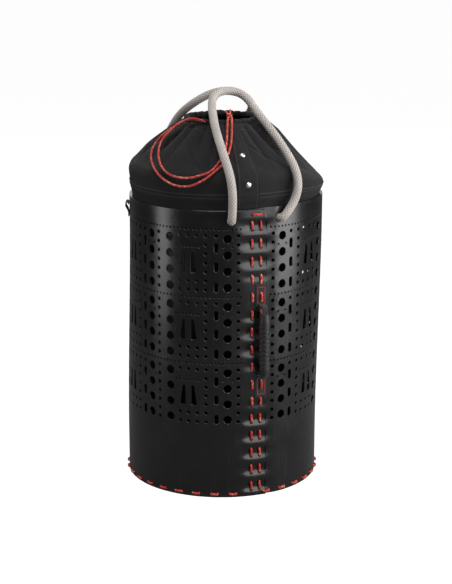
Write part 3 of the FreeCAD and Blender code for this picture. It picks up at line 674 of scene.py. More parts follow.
@dataclass(frozen=True)
class MouldedPlastic:
    """Black plastic with a fine grain, paler at its edges: partly rubbed wear, partly a painted highlight."""

    name: str
    base: tuple
    worn_and_highlight: tuple
    roughness: tuple[float, float]
    grain: float
    wear: float
    dust: float

    def make(self, effects: Effects) -> bpy.types.Material:
        """Build the material."""
        material, t, surface = start_material(self.name, Specular_IOR_Level=0.5)
        place = t.put("TexCoord", outlet="Object")
        grain = t.group(effects.grain, Place=place, Scale=self.grain)
        wear = t.group(effects.wear, Place=place, Scale=140.0, Amount=self.wear)
        dust = t.group(effects.dust, Place=place, Scale=50.0, Amount=self.dust)
        # paler edges, partly wear and partly painted highlight, with scuffs, dust and broad grain
        tone = t.math("ADD", wear.outputs["EdgeWearAndHighlight"], t.math("MULTIPLY", wear.outputs["Scuff"], 0.35))
        tone = t.math("ADD", tone, dust.outputs["Dust"])
        tone = t.math("MINIMUM", t.math("ADD", tone, t.math("MULTIPLY", grain.outputs["Broad"], 0.06)), 1.0)
        t.feed(surface.inputs["Base Color"], t.blend(tone, self.base, self.worn_and_highlight))
        rough = t.math("ADD", t.span(grain.outputs["Broad"], 0, 1, *self.roughness),
                       t.math("MULTIPLY", wear.outputs["Scuff"], 0.2))
        t.feed(surface.inputs["Roughness"], rough)
        t.feed(surface.inputs["Normal"], t.bump(grain.outputs["Fine"], 0.00012, 0.55))
        return material


class BraidLook(Enum):
    """How strongly a braid's flecks show, and how strongly shade is painted into its grooves."""

    PLAIN = (0.0, 1.0)
    FLECKED = (0.7, 0.6)


@dataclass(frozen=True)
class Braided:
    """Braided yarn, with painted shade between its strands."""

    name: str
    base: tuple
    # deep: the painted shade between the strands, which the soil's random darkening also blends towards
    deep: tuple
    fleck: tuple
    look: BraidLook
    braid: Braid
    roughness: float
    sheen: float

    def make(self, effects: Effects) -> bpy.types.Material:
        """Build the material."""
        material, t, surface = start_material(self.name, Roughness=self.roughness, Specular_IOR_Level=0.3,
                                              Sheen_Weight=self.sheen, Sheen_Roughness=0.5)
        flecks, groove_shade = self.look.value
        uv = t.put("UVMap", uv_map="UVMap")
        braid = t.group(effects.braid, UV=uv, Strands=float(self.braid.strands), Pitch=self.braid.pitch)
        place = t.put("TexCoord", outlet="Object")
        soil = t.group(effects.grain, Place=place, Scale=1500.0)
        yarn = t.blend(t.math("MULTIPLY", braid.outputs["Fleck"], flecks), self.base, self.fleck)
        yarn = t.blend(t.math("MULTIPLY", soil.outputs["Broad"], 0.25), yarn, self.deep)
        # painted shade: the colour darkens towards deep between the strands, where Groove is low
        depth = t.math("MULTIPLY", t.math("SUBTRACT", 1.0, braid.outputs["Groove"]), groove_shade)
        t.feed(surface.inputs["Base Color"], t.blend(depth, yarn, self.deep))
        fuzz = t.math("ADD", t.math("MULTIPLY", braid.outputs["Fibre"], 0.6), soil.outputs["Fine"])
        t.feed(surface.inputs["Normal"], t.bump(fuzz, 0.00012, 0.8))
        return material


@dataclass(frozen=True)
class Woven:
    """Woven cloth or webbing, with painted shade between its threads."""

    name: str
    base: tuple
    pale: tuple
    threads: float
    relief: float
    roughness: float
    sheen: float
    dust: float

    def make(self, effects: Effects) -> bpy.types.Material:
        """Build the material."""
        material, t, surface = start_material(self.name, Roughness=self.roughness, Specular_IOR_Level=0.2,
                                              Sheen_Weight=self.sheen, Sheen_Roughness=0.55)
        uv = t.put("UVMap", uv_map="UVMap")
        place = t.put("TexCoord", outlet="Object")
        weave = t.group(effects.weave, UV=uv, Threads=self.threads, Slub=0.5)
        cloud = t.group(effects.grain, Place=place, Scale=900.0)
        dust = t.group(effects.dust, Place=place, Scale=40.0, Amount=self.dust)
        # painted shade between the threads from the weave's tone, with random cloudiness and dust
        tone = t.math("ADD", t.span(weave.outputs["Tone"], 0.25, 0.75, 0.0, 0.7),
                      t.math("MULTIPLY", cloud.outputs["Broad"], 0.3))
        tone = t.math("MINIMUM", t.math("ADD", tone, dust.outputs["Dust"]), 1.0)
        t.feed(surface.inputs["Base Color"], t.blend(tone, self.base, self.pale))
        crease = t.math("ADD", weave.outputs["Height"], t.math("MULTIPLY", cloud.outputs["Fine"], 0.4))
        t.feed(surface.inputs["Normal"], t.bump(crease, self.relief, 0.9))
        return material


@dataclass(frozen=True)
class PolishedMetal:
    """Bright metal with fine handling marks."""

    name: str
    base: tuple
    dull: tuple
    roughness: tuple[float, float]

    def make(self, effects: Effects) -> bpy.types.Material:
        """Build the material."""
        material, t, surface = start_material(self.name, Metallic=1.0)
        place = t.put("TexCoord", outlet="Object")
        grain = t.group(effects.grain, Place=place, Scale=2500.0)
        wear = t.group(effects.wear, Place=place, Scale=900.0, Amount=0.6)
        marks = t.math("ADD", t.math("MULTIPLY", grain.outputs["Broad"], 0.4), wear.outputs["Scuff"])
        t.feed(surface.inputs["Base Color"], t.blend(t.math("MINIMUM", marks, 1.0), self.base, self.dull))
        t.feed(surface.inputs["Roughness"], t.span(marks, 0, 1, *self.roughness))
        t.feed(surface.inputs["Normal"], t.bump(grain.outputs["Fine"], 0.00003, 0.5))
        return material


class Finishes:
    """Every finish of the bag, made once."""

    def __init__(self) -> None:
        """Build the materials."""
        fx = Effects()
        # each plastic's second colour is its pale wear, dust and painted edge highlight
        self.wall = MouldedPlastic("wall sheet", colour(0.0048, 0.0040, 0.0046), colour(0.052, 0.046, 0.049),
                                   (0.20, 0.30), 900.0, 0.45, 0.05).make(fx)
        self.tray = MouldedPlastic("tray plastic", colour(0.0060, 0.0058, 0.0062), colour(0.05, 0.048, 0.05),
                                   (0.42, 0.58), 700.0, 0.5, 0.12).make(fx)
        self.grip = MouldedPlastic("grip rubber", colour(0.0045, 0.0045, 0.0050), colour(0.045, 0.043, 0.045),
                                   (0.45, 0.58), 1600.0, 0.4, 0.06).make(fx)
        # each braid's second colour is the painted shade between its strands
        self.rope = Braided("handle rope", colour(0.56, 0.51, 0.475), colour(0.085, 0.074, 0.066),
                            colour(0.60, 0.56, 0.53), BraidLook.PLAIN, ROPE_BRAID, 0.75, 0.15).make(fx)
        self.lace = Braided("red lace", colour(0.50, 0.018, 0.010), colour(0.12, 0.006, 0.005),
                            colour(0.80, 0.38, 0.22), BraidLook.FLECKED, LACE_BRAID, 0.6, 0.15).make(fx)
        self.cord = Braided("red cord", colour(0.52, 0.022, 0.012), colour(0.13, 0.008, 0.006),
                            colour(0.80, 0.42, 0.28), BraidLook.FLECKED, CORD_BRAID, 0.6, 0.15).make(fx)
        self.canvas = Woven("collar canvas", colour(0.0021, 0.0017, 0.0023), colour(0.0070, 0.0057, 0.0073),
                            1250.0, 0.00022, 0.72, 0.05, 0.03).make(fx)
        self.webbing = Woven("webbing", colour(0.0050, 0.0047, 0.0053), colour(0.022, 0.020, 0.022),
                             800.0, 0.00035, 0.7, 0.12, 0.05).make(fx)
        self.thread = Woven("black thread", colour(0.012, 0.011, 0.012), colour(0.07, 0.065, 0.066),
                            2400.0, 0.00008, 0.6, 0.3, 0.05).make(fx)
        self.red_thread = Woven("red thread", colour(0.42, 0.012, 0.010), colour(0.62, 0.05, 0.03),
                                2400.0, 0.00008, 0.55, 0.3, 0.0).make(fx)
        self.metal = PolishedMetal("rivet metal", colour(0.82, 0.81, 0.79), colour(0.45, 0.44, 0.43),
                                   (0.30, 0.45)).make(fx)


# ---------------------------------------------------------------- wall
class HoleShape(Enum):
    """The kinds of holes in the wall."""

    BIG = 0.006
    HANDLE = 0.0065
    MEDIUM = 0.0025
    LACE = 0.0022
    TINY = 0.0013


HOLE_SIDES = {HoleShape.BIG: 28, HoleShape.HANDLE: 30, HoleShape.MEDIUM: 16, HoleShape.LACE: 14, HoleShape.TINY: 10}


@dataclass
class WallPanel:
    """The rolled wall: one perforated sheet whose edges overlap at the laced seam."""

    flap_end: float = 366.3  # azimuth where the sheet's outer edge lies over its inner one
    flap_start: float = -6.5
    joggle: tuple[float, float] = (6.7, 14.5)
    inner_r: float = 0.1379  # outside radius of the inner layer
    chamfer: float = 0.00025
    tier_top: float = 0.3919
    tier_pitch: float = 0.0962
    tiers: int = 3
    module: float = 48.96
    pattern_end: float = 111.0  # azimuth beyond which the sheet is plain, round the back
    row_step: float = 2.455
    stitch_top: float = 0.396
    stitch_pitch: float = 0.0254
    stitches: int = 16
    stitch_half: float = 0.0057
    column: float = 2.63
    bridge_z: float = 0.412
    ring_z: float = 0.0051
    ring_first: float = 6.6
    ring_last: float = 346.2
    ring_count: int = 32
    ring_half: float = 1.923
    handle_az: float = 14.8
    handle_z: float = 0.404
    dent: float = 0.0018  # half of how deep the stitches pull the sheet in
    dent_reach: float = 0.0130  # how far beyond a column its dents go
    patch_middles: tuple[float, float] = (0.2968, 0.165)  # where the side handle's patches keep the sheet flat
    # how far the rim leans out, the azimuth where it leans most, and the width of the lean
    flare: tuple[float, float, float] = (0.0060, 74.0, 40.0)
    sag: tuple[float, float, float] = (-0.0060, -110.0, 44.0)

    def stitch_heights(self) -> list[float]:
        """The middles of the seam's stitches, from the top."""
        return [self.stitch_top - self.stitch_pitch * i for i in range(self.stitches)]

    def ring_centres(self) -> np.ndarray:
        """The azimuths of the middles of the stitches round the base."""
        return np.linspace(self.ring_first, self.ring_last, self.ring_count)

    def pull(self, azimuth, z) -> np.ndarray:
        """How far the lacing pulls the sheet in, as a distance that is zero or less.

        Args:
            azimuth: Azimuths in degrees, of either layer.
            z: Heights.

        Returns:
            The change of radius.
        """
        turn = (np.asarray(azimuth, float) + 180) % 360 - 180
        side = np.radians(np.abs(turn)) * WALL_R
        beyond = np.maximum(side - math.radians(self.column) * WALL_R, 0)
        wave = np.cos(2 * np.pi * (np.asarray(z) - self.stitch_top) / self.stitch_pitch)
        wave = np.sign(wave) * np.abs(wave) ** 0.8
        patches = np.maximum(*(bump(z, middle, 0.021) ** 0.5 for middle in self.patch_middles))
        reach = smooth(z, 0.003, 0.010) * (1 - smooth(z, 0.401, 0.408)) * (1 - np.clip(patches * 1.6, 0, 1))
        return -self.dent * (1 + wave) * np.exp(-((beyond / self.dent_reach) ** 2)) * reach

    def spread(self, azimuth, z) -> np.ndarray:
        """How far the soft sheet leans out of round, most at the rim: out on the right, in on the left."""
        turn = (np.asarray(azimuth, float) + 180) % 360 - 180
        away = np.abs(turn)
        lean = 0.0
        for out, middle, width in (self.flare, self.sag):
            lean = lean + out * bump(turn, middle, width) * smooth(away, 12, 50) * (1 - smooth(away, 140, 178))
        return lean * smooth(z, 0.06, 0.40)

    def radius(self, azimuth, z) -> np.ndarray:
        """The sheet's outside radius."""
        azimuth = np.asarray(azimuth, float)
        step = smooth(azimuth, *self.joggle)
        flap = bump(azimuth, self.flap_end, 2.2) * 0.0006
        wave = 0.0005 * np.sin(np.radians(azimuth * 2 + 40))
        wander = wave * smooth(azimuth, 20, 50) * (1 - smooth(azimuth, 310, 340))
        return self.inner_r + (WALL_R - self.inner_r) * step + self.pull(azimuth, z) + flap \
            + wander * np.asarray(z) / WALL_H + self.spread(azimuth, z)

    def lift(self, azimuth, z) -> np.ndarray:
        """How much higher the rim stands where the sheet was rolled a little askew."""
        skew = smooth(azimuth, -6.5, 9) * (1 - smooth(azimuth, 40, 110))
        return 0.0024 * skew * smooth(z, 0.398, WALL_H)

    @staticmethod
    def circle(azimuth: float, z: float, shape: HoleShape) -> np.ndarray:
        """A round hole's outline on the unrolled sheet, clockwise."""
        sides = HOLE_SIDES[shape]
        a = -2 * np.pi * np.arange(sides) / sides
        across = math.radians(azimuth) * WALL_R + shape.value * np.cos(a)
        return np.stack([across, z + shape.value * np.sin(a)], axis=1)

    @staticmethod
    def slot(azimuth: float, z: float) -> np.ndarray:
        """An upright slot's outline, clockwise."""
        a = -2 * np.pi * (np.arange(24) + 0.5) / 24
        out = np.stack([0.003 * np.cos(a), 0.003 * np.sin(a)], axis=1)
        out[:, 1] += np.where(out[:, 1] > 0, 0.004, -0.004)
        return out + (math.radians(azimuth) * WALL_R, z)

    @staticmethod
    def tapered(azimuth: float, top: float, lean: float) -> np.ndarray:
        """A tapered slot's outline, clockwise, narrow at the top."""
        high, low = top - 0.033, top - 0.062
        a, b, c, d = (-0.002, high), (0.002, high), (lean + 0.00425, low), (lean - 0.00425, low)
        out = []
        for corner in ((d, a, b), (a, b, c), (b, c, d), (c, d, a)):
            out.extend(softened(corner, 0.0014, 5)[1:-1])
        return np.array(out) + (math.radians(azimuth) * WALL_R, 0)

    def repeats(self, column: float) -> list[float]:
        """The azimuths where a column of the pattern comes up again, on one side of the seam."""
        return np.arange(column, self.pattern_end, self.module).tolist()

    def pattern(self) -> list[np.ndarray]:
        """The outlines of one side's pattern, which is mirrored at the seam."""
        made: list[np.ndarray] = []
        lean = 0.029 * math.tan(math.radians(4.0))
        for tier in range(self.tiers):
            top = self.tier_top - self.tier_pitch * tier
            dots = [(azimuth, 0.0) for azimuth in np.arange(9.4, self.pattern_end, self.row_step)]
            dots += [(a + d, 0.0249) for a in self.repeats(16.9) for d in (-2.66, 2.66)]
            dots += [(a, 0.0252) for k in range(8) for a in self.repeats(33.1 + 2.1 * k)]
            small = [(a, 0.009 + 0.0128 * k) for column in (10.7, 29.5)
                     for a in self.repeats(column) for k in range(7)]
            small += [(a, 0.009) for a in self.repeats(23.4)]
            small += [(a, drop) for column in (34.6, 40.0, 45.3) for a in self.repeats(column)
                      for drop in (0.009, 0.0735, 0.0863)]
            large = [(a, 0.0134 + 0.023 * k) for column in (16.9, 51.7)
                     for a in self.repeats(column) for k in range(4)]
            for places, shape in ((dots, HoleShape.TINY), (small, HoleShape.MEDIUM), (large, HoleShape.BIG)):
                made += [self.circle(azimuth, top - drop, shape) for azimuth, drop in places]
            made += [self.slot(a, top - drop) for a in self.repeats(23.4) for drop in (0.026, 0.053, 0.082)]
            made += [self.tapered(a, top, -lean) for a in self.repeats(37.4)]
            made += [self.tapered(a, top, lean) for a in self.repeats(42.8)]
        return made

    def holes(self) -> list[np.ndarray]:
        """Every hole's outline on the unrolled sheet."""
        one_side = self.pattern()
        full = math.radians(360) * WALL_R
        made = list(one_side)
        for outline in one_side:
            mirrored = outline[::-1].copy()
            mirrored[:, 0] = full - mirrored[:, 0]
            made.append(mirrored)
        edge = 1.2
        laced = [(side * self.column, z + end * self.stitch_half)
                 for side in (-1, 1) for z in self.stitch_heights() for end in (-1, 1)]
        laced += [(side * self.column, self.bridge_z) for side in (-1, 1)]
        laced += [(c + side * self.ring_half, self.ring_z) for c in self.ring_centres() for side in (-1, 1)]
        for azimuth, z in laced:
            for turn in (azimuth, azimuth + 360):
                if self.flap_start + edge < turn < self.flap_end - edge:
                    made.append(self.circle(turn, z, HoleShape.LACE))
        for azimuth in (self.handle_az, 180 - self.handle_az, 180 + self.handle_az, 360 - self.handle_az):
            made.append(self.circle(azimuth, self.handle_z, HoleShape.HANDLE))
        return made

    def outline(self) -> np.ndarray:
        """The sheet's own outline, anticlockwise, with even points along it."""
        left, right = (math.radians(a) * WALL_R for a in (self.flap_start, self.flap_end))
        corners = np.array([(left, 0), (right, 0), (right, WALL_H), (left, WALL_H), (left, 0)])
        return resample_corners(corners, 0.003)

    def inner_points(self, loops: Sequence[np.ndarray]) -> np.ndarray:
        """Points inside the sheet that let it bend and dent.

        Args:
            loops: The outlines that the points keep clear of.

        Returns:
            The points, clear of every hole and of the sheet's edges.
        """
        left, right = (math.radians(a) * WALL_R for a in (self.flap_start, self.flap_end))
        broad = np.stack(np.meshgrid(np.arange(left + 0.004, right - 0.002, 0.0042),
                                     np.arange(0.006, WALL_H - 0.003, 0.0078), indexing="ij"), axis=-1).reshape(-1, 2)
        turn = (np.degrees(broad[:, 0] / WALL_R) + 180) % 360 - 180
        broad = broad[np.abs(turn) > 11]
        fine = []
        for low, high in ((self.flap_start, 11), (349, self.flap_end)):
            a = np.arange(math.radians(low) * WALL_R + 0.0015, math.radians(high) * WALL_R - 0.001, 0.0021)
            fine.append(np.stack(np.meshgrid(a, np.arange(0.003, WALL_H - 0.002, 0.0019), indexing="ij"),
                                 axis=-1).reshape(-1, 2))
        points = np.concatenate([broad, *fine])
        keep = np.ones(len(points), bool)
        for loop in loops:
            middle, half = loop.mean(axis=0), np.ptp(loop, axis=0) / 2 + 0.0011
            keep &= np.any(np.abs(points - middle) > half, axis=1)
        return points[keep]

    def draft(self) -> Draft:
        """Cut the sheet, give it its thickness and roll it."""
        holes = self.holes()
        loops = [self.outline(), *holes]
        wide = [loop + self.chamfer * outward(loop) for loop in loops]
        inner = self.inner_points(holes)
        points = np.concatenate([*wide, inner])
        starts = np.concatenate([[0], np.cumsum([len(loop) for loop in loops])])
        owner = np.full(len(points), -1)
        edges = []
        for k, loop in enumerate(loops):
            ids = np.arange(starts[k], starts[k + 1])
            edges += list(zip(ids.tolist(), np.roll(ids, -1).tolist()))
            if k:
                owner[ids] = k
        result = delaunay_2d_cdt(points.tolist(), edges, [], 1, 1e-8, True)
        triangles = np.array([f for f in result[2] if len(f) == 3])
        source = np.array([ids[0] for ids in result[3]])
        triangles = source[triangles]
        own = owner[triangles]
        in_hole = (own[:, 0] > 0) & (own[:, 0] == own[:, 1]) & (own[:, 1] == own[:, 2])
        triangles = triangles[~in_hole]
        made = Draft()
        out = made.put(self.rolled(points, 0.0))
        back = made.put(self.rolled(points, SHEET))
        uv = points[triangles]
        made.face(triangles + out, uv)
        made.face(triangles[:, ::-1] + back, uv[:, ::-1])
        rings = np.concatenate(loops)
        upper = made.put(self.rolled(rings, self.chamfer))
        lower = made.put(self.rolled(rings, SHEET - self.chamfer))
        for k, loop in enumerate(loops):
            ids = np.arange(starts[k], starts[k + 1])
            after = np.roll(ids, -1)
            edge_uv = np.stack([rings[ids], rings[ids], rings[after], rings[after]], axis=1)
            for a, b in ((out, upper), (upper, lower), (lower, back)):
                made.face(np.stack([ids + a, ids + b, after + b, after + a], axis=1), edge_uv)
        return made

    def rolled(self, flat: np.ndarray, depth: float) -> np.ndarray:
        """Points of the unrolled sheet rolled round, a depth below its outside."""
        azimuth, z = np.degrees(flat[:, 0] / WALL_R), flat[:, 1]
        return polar(self.radius(azimuth, z) - depth, azimuth, z + self.lift(azimuth, z))

    def dress(self, finishes: Finishes) -> None:
        """Build the wall."""
        piece = self.draft().build("wall_panel", finishes.wall, sharp=28.0)
        settle(piece, ["wall_sheet"])


def resample_corners(corners: np.ndarray, step: float) -> np.ndarray:
    """A closed outline's points, evenly spaced on each run, with its corners kept."""
    out = []
    for a, b in zip(corners, corners[1:]):
        count = max(1, int(round(np.linalg.norm(b - a) / step)))
        out.append(a + (b - a) * (np.arange(count) / count)[:, None])
    return np.concatenate(out)


def outward(loop: np.ndarray) -> np.ndarray:
    """Unit directions from a loop into the sheet around a clockwise hole, or inside an anticlockwise outline."""
    along = np.roll(loop, -1, axis=0) - np.roll(loop, 1, axis=0)
    along /= np.linalg.norm(along, axis=1)[:, None]
    return np.stack([-along[:, 1], along[:, 0]], axis=1)


# ---------------------------------------------------------------- laces
@dataclass
class Lacing:
    """The red laces: two columns of running stitches at the seam, and one run round the base."""

    wall: WallPanel
    radius: float = 0.0018
    over: float = 0.1419  # radius of the runs outside the wall
    under: float = 0.1340  # radius of the runs inside it
    deep: float = 0.12945  # where they also hold the collar
    patch: float = 0.0015
    deep_above: float = 0.3713
    patches: tuple = ((0.281, 0.3125), (0.1493, 0.1808))  # heights where the right column crosses a patch
    sides: int = 14
    step: float = 0.0008

    def column(self, side: int) -> np.ndarray:
        """One column's centreline, from the bridge down.

        Args:
            side: -1 for the left column, 1 for the right.

        Returns:
            The centreline's points.
        """
        wall = self.wall
        line = [(self.over, wall.bridge_z), (self.deep, wall.bridge_z)]
        for z in wall.stitch_heights():
            high, low = z + wall.stitch_half, z - wall.stitch_half
            give = float(wall.pull(0.0, z)) * 0.9
            inside = (self.deep if z > self.deep_above else self.under) + give
            crosses = side > 0 and any(low_end < z < top_end for low_end, top_end in self.patches)
            out = self.over + (self.patch if crosses else 0.0) + give
            line += [(inside, high), (out, high), (out, low), (inside, low)]
        line.append((self.under, line[-1][1] + wall.stitch_half))
        eased = softened(line, self.radius * 1.3)
        return polar(eased[:, 0], side * wall.column, eased[:, 1])

    def base_run(self) -> np.ndarray:
        """The centreline of the lace round the base."""
        wall = self.wall
        line = []
        for centre in wall.ring_centres():
            for azimuth, r in ((centre - wall.ring_half, self.under), (centre - wall.ring_half, self.over),
                               (centre, self.over), (centre + wall.ring_half, self.over),
                               (centre + wall.ring_half, self.under)):
                line.append(polar(r, azimuth, wall.ring_z))
            line.append(polar(self.under, centre + wall.ring_half * 2.2, wall.ring_z))
        return softened(np.array(line[:-1]), self.radius * 1.3)

    def dress(self, finishes: Finishes) -> None:
        """Build both laces."""
        bridge = polar(self.over, np.linspace(-1, 1, 9)[1:-1] * self.wall.column, self.wall.bridge_z)
        seam = np.concatenate([self.column(-1)[::-1], bridge, self.column(1)])
        for name, node, line in (("seam_lace", "seam_lacing", softened(resample(seam, 0.0012), 0.0006, 2)),
                                 ("base_lace", "base_lacing", self.base_run())):
            draft = Draft()
            braided_tube(draft, resample(line, self.step), self.radius, LACE_BRAID, self.sides)
            settle(draft.build(name, finishes.lace), [node])


# ---------------------------------------------------------------- collar
@dataclass
class Collar:
    """The gathered canvas collar with its strip, tape, hem and stitching."""

    wall: WallPanel
    line: tuple = ((0.1356, 0.384), (0.1356, 0.421), (0.1386, 0.436), (0.1386, 0.458), (0.1355, 0.465),
                   (0.107, 0.490), (0.093, 0.500), (0.078, 0.511), (0.064, 0.521), (0.0552, 0.5248), (0.0515, 0.5262))
    slumped: tuple = ((0.1356, 0.384), (0.1356, 0.421), (0.1405, 0.433), (0.1405, 0.4390), (0.1350, 0.4455),
                      (0.1105, 0.4755), (0.096, 0.4925), (0.081, 0.5105), (0.068, 0.5215), (0.0552, 0.5248),
                      (0.0515, 0.5262))
    thickness: float = 0.0012
    pleats: int = 23
    pleat_depth: float = 0.0074
    around: int = 720
    fold_z: float = 0.442
    hem_r: float = 0.050
    hem_z: float = 0.526
    hem_tube: float = 0.0045
    strip: tuple[float, float] = (-11.0, 1.0)
    strip_t: float = 0.001
    flat: tuple[float, float] = (0.871, 0.190)

    def __post_init__(self) -> None:
        """Work out the eased profile with its directions."""
        self.profile = resample(softened(np.array(self.line), 0.006, 6), 0.00165)
        along = np.gradient(self.profile, axis=0)
        along /= np.linalg.norm(along, axis=1)[:, None]
        self.normal = np.stack([along[:, 1], -along[:, 0]], axis=1)
        runs = np.linalg.norm(np.diff(self.profile, axis=0), axis=1)
        self.length = np.concatenate([[0], np.cumsum(runs)])
        corners = np.array(self.line)
        near = np.linalg.norm(self.profile[None] - corners[:, None], axis=2).argmin(axis=1)
        change = np.array(self.slumped) - corners
        self.slump = np.stack([np.interp(self.length, self.length[near], change[:, k]) for k in (0, 1)], axis=1)

    def moved(self, azimuth: np.ndarray, r: np.ndarray, z: np.ndarray, dr: np.ndarray, dz: np.ndarray) -> np.ndarray:
        """Points carried by the slump of the right shoulder and the lean of the wall.

        Args:
            azimuth: Azimuths in degrees.
            r: Radii before.
            z: Heights before.
            dr: The slump's full change of radius.
            dz: Its full change of height.

        Returns:
            The points.
        """
        turn = (azimuth + 180) % 360 - 180
        share = bump(turn, 74, 38) * smooth(turn, 10, 42)
        lean = self.wall.spread(azimuth, np.minimum(z, WALL_H)) * (1 - smooth(z, 0.450, 0.500))
        tuck = self.wall.pull(azimuth, z) * (r > 0.12)
        return polar(r + share * dr + lean + tuck, azimuth, z + share * dz)

    def phase(self, azimuth: np.ndarray, s: np.ndarray) -> np.ndarray:
        """The pleats' phase, uneven round the collar and leaning as they rise."""
        a = np.radians(azimuth)
        uneven = 0.30 * np.sin(3 * a + 0.7) + 0.22 * np.sin(5 * a + 2.1) + 0.13 * np.sin(9 * a + 4.0)
        lean = s * (0.35 * np.sin(2 * a + 1.0) + 0.22 * np.sin(7 * a))
        return self.pleats * a + 3.2 * uneven + lean * 2.4

    def folds(self, azimuth: np.ndarray, z: np.ndarray, r: np.ndarray) -> np.ndarray:
        """How far the cloth lies from its plain profile.

        Args:
            azimuth: Azimuths in degrees.
            z: Profile heights.
            r: Profile radii.

        Returns:
            Distances along the outward normal.
        """
        s = np.clip((0.1385 - r) / 0.083, 0, 1) * (z > 0.45)
        a = np.radians(azimuth)
        turn = (azimuth + 180) % 360 - 180
        ridge = np.abs(np.sin(self.phase(azimuth, s) / 2)) ** 0.75
        share = 0.62 + 0.38 * np.sin(4 * a + 1.3 + 2 * s) * np.cos(7 * a)
        deep = self.pleat_depth * smooth(s, -0.06, 0.70) * share * (1 - 0.7 * smooth(s, 0.90, 1.0))
        broad = 0.0052 * smooth(s, 0.0, 0.25) * (1 - 0.6 * s)
        broad_wave = (0.5 + 0.5 * np.sin(8 * a + 1.6 * np.sin(2 * a + 0.6) + 2.6 * s)) ** 1.5
        band = bump(z, 0.450, 0.014)
        drape = 0.0007 * band * np.sin(11 * a + 2 * np.sin(3 * a + z * 60)) * np.sin(5 * a)
        lip = 0.0007 * (1 - smooth(z, self.fold_z - 0.0012, self.fold_z)) * smooth(z, 0.424, 0.430)
        groove = -0.0006 * bump(z, self.fold_z, 0.0011)
        bulge = 0.0016 * bump(turn, -96, 24) * bump(z, 0.455, 0.012)
        crease = -0.0012 * smooth(s, 0.05, 0.2) * (1 - smooth(s, 0.5, 0.9)) * bump(np.sin(a * 6.5 + s * 5), 0.0, 0.18)
        flat = 1 - 0.92 * bump(turn, -5, 8.5)
        return 0.0004 * smooth(s, 0, 0.1) + flat * (-deep * (1 - ridge) - broad * broad_wave + drape + crease) \
            + lip + groove + bulge

    def surface(self, azimuth: np.ndarray, rows: slice, offset: float) -> np.ndarray:
        """Points on the cloth.

        Args:
            azimuth: The azimuths of the columns.
            rows: The part of the profile.
            offset: How far from the cloth's outside.

        Returns:
            (rows, columns, 3) points.
        """
        p, n = self.profile[rows], self.normal[rows]
        gap = self.folds(azimuth[None, :], p[:, 1:2], p[:, 0:1]) + offset
        r, z = p[:, 0:1] + n[:, 0:1] * gap, p[:, 1:2] + n[:, 1:2] * gap
        slump = self.slump[rows]
        return self.moved(azimuth[None, :], r, z, slump[:, 0:1], slump[:, 1:2])

    def cloth(self, finishes: Finishes) -> bpy.types.Object:
        """Build the canvas."""
        azimuth = np.arange(self.around) * 360 / self.around
        every = slice(None)
        outer = self.surface(azimuth, every, 0.0)
        inner = self.surface(azimuth, every, -self.thickness)[::-1]
        points = np.concatenate([outer, inner])
        vs = np.radians(np.arange(self.around + 1) * 360 / self.around) * WALL_R
        us = np.concatenate([self.length, self.length[::-1] + 0.0005, [0.0]])
        draft = Draft()
        draft.grid(points, us, vs, wrap_u=True, wrap_v=True, flip=True)
        return settle(draft.build("collar_cloth", finishes.canvas, sharp=60), ["collar_fabric"])

    def hem(self, finishes: Finishes) -> bpy.types.Object:
        """Build the puckered roll round the mouth."""
        azimuth = np.arange(480) * 0.75
        angle = np.arange(28) * 2 * np.pi / 28
        pucker = np.abs(np.sin(self.phase(azimuth, np.ones(480)) / 2)) ** 0.75
        tight = np.abs(np.sin(self.phase(azimuth, np.ones(480)) + 1.0))
        tube = self.hem_tube + 0.0005 - 0.0013 * (1 - pucker) - 0.0004 * tight
        r = self.hem_r + tube[:, None] * np.cos(angle)[None, :]
        z = self.hem_z + tube[:, None] * np.sin(angle)[None, :] + 0.0004 * np.sin(np.radians(azimuth * 5))[:, None]
        draft = Draft()
        us = np.radians(np.arange(481) * 0.75) * self.hem_r * 1.8
        draft.grid(polar(r, azimuth[:, None], z), us, np.arange(29) * 0.001, wrap_u=True, wrap_v=True)
        return settle(draft.build("collar_hem_roll", finishes.canvas, sharp=60), ["collar_hem"])

    def band(self, start: float, end: float, count: int, rows: slice, low: float, high: float,
             name: str, finish: bpy.types.Material) -> bpy.types.Object:
        """Build a flat strip that follows the cloth.

        Args:
            start: The azimuth of one edge.
            end: The azimuth of the other.
            count: The points across it.
            rows: The part of the profile that it covers.
            low: How far its underside is from the cloth's outside.
            high: How far its top is.
            name: The piece's name.
            finish: Its material.

        Returns:
            The new piece.
        """
        azimuth = np.linspace(start, end, count)
        top, under = self.surface(azimuth, rows, high), self.surface(azimuth, rows, low)
        ring = np.concatenate([top, under[:, ::-1]], axis=1)
        width = math.radians(end - start) * WALL_R
        vs = np.concatenate([np.linspace(0, width, count), np.linspace(width, 0, count), [0.0]])
        draft = Draft()
        n, m = ring.shape[:2]
        first = draft.grid(ring, self.length[rows], vs, wrap_v=True, flip=True)
        draft.lid(first + np.arange(m))
        draft.lid(first + (n - 1) * m + np.arange(m), flip=True)
        return draft.build(name, finish, sharp=35)

    def stitching(self, finishes: Finishes) -> bpy.types.Object:
        """Build the rows of thread on the collar."""
        draft = Draft()
        section, reach, bow = thread_stitch()

        def add(places: np.ndarray, normals: np.ndarray, hint: Sequence[float]) -> None:
            """Add one stitch along a short line."""
            raised = places + normals * (bow[:, None] * 0.00032 - 0.0001)
            draft.sweep(raised, section * 0.00028 * bow[:, None, None], hint)

        def row_at(z: float) -> int:
            """The profile row at a height."""
            return int(np.argmin(np.abs(self.profile[:, 1] - z)))

        def spot(azimuth: np.ndarray, at: np.ndarray, offset: float) -> np.ndarray:
            """Points on the cloth at distances along the profile."""
            r = np.interp(at, self.length, self.profile[:, 0])
            z = np.interp(at, self.length, self.profile[:, 1])
            nr = np.interp(at, self.length, self.normal[:, 0])
            nz = np.interp(at, self.length, self.normal[:, 1])
            gap = self.folds(azimuth, z, r) + offset
            dr, dz = (np.interp(at, self.length, self.slump[:, k]) for k in (0, 1))
            return self.moved(azimuth, r + nr * gap, z + nz * gap, dr, dz)

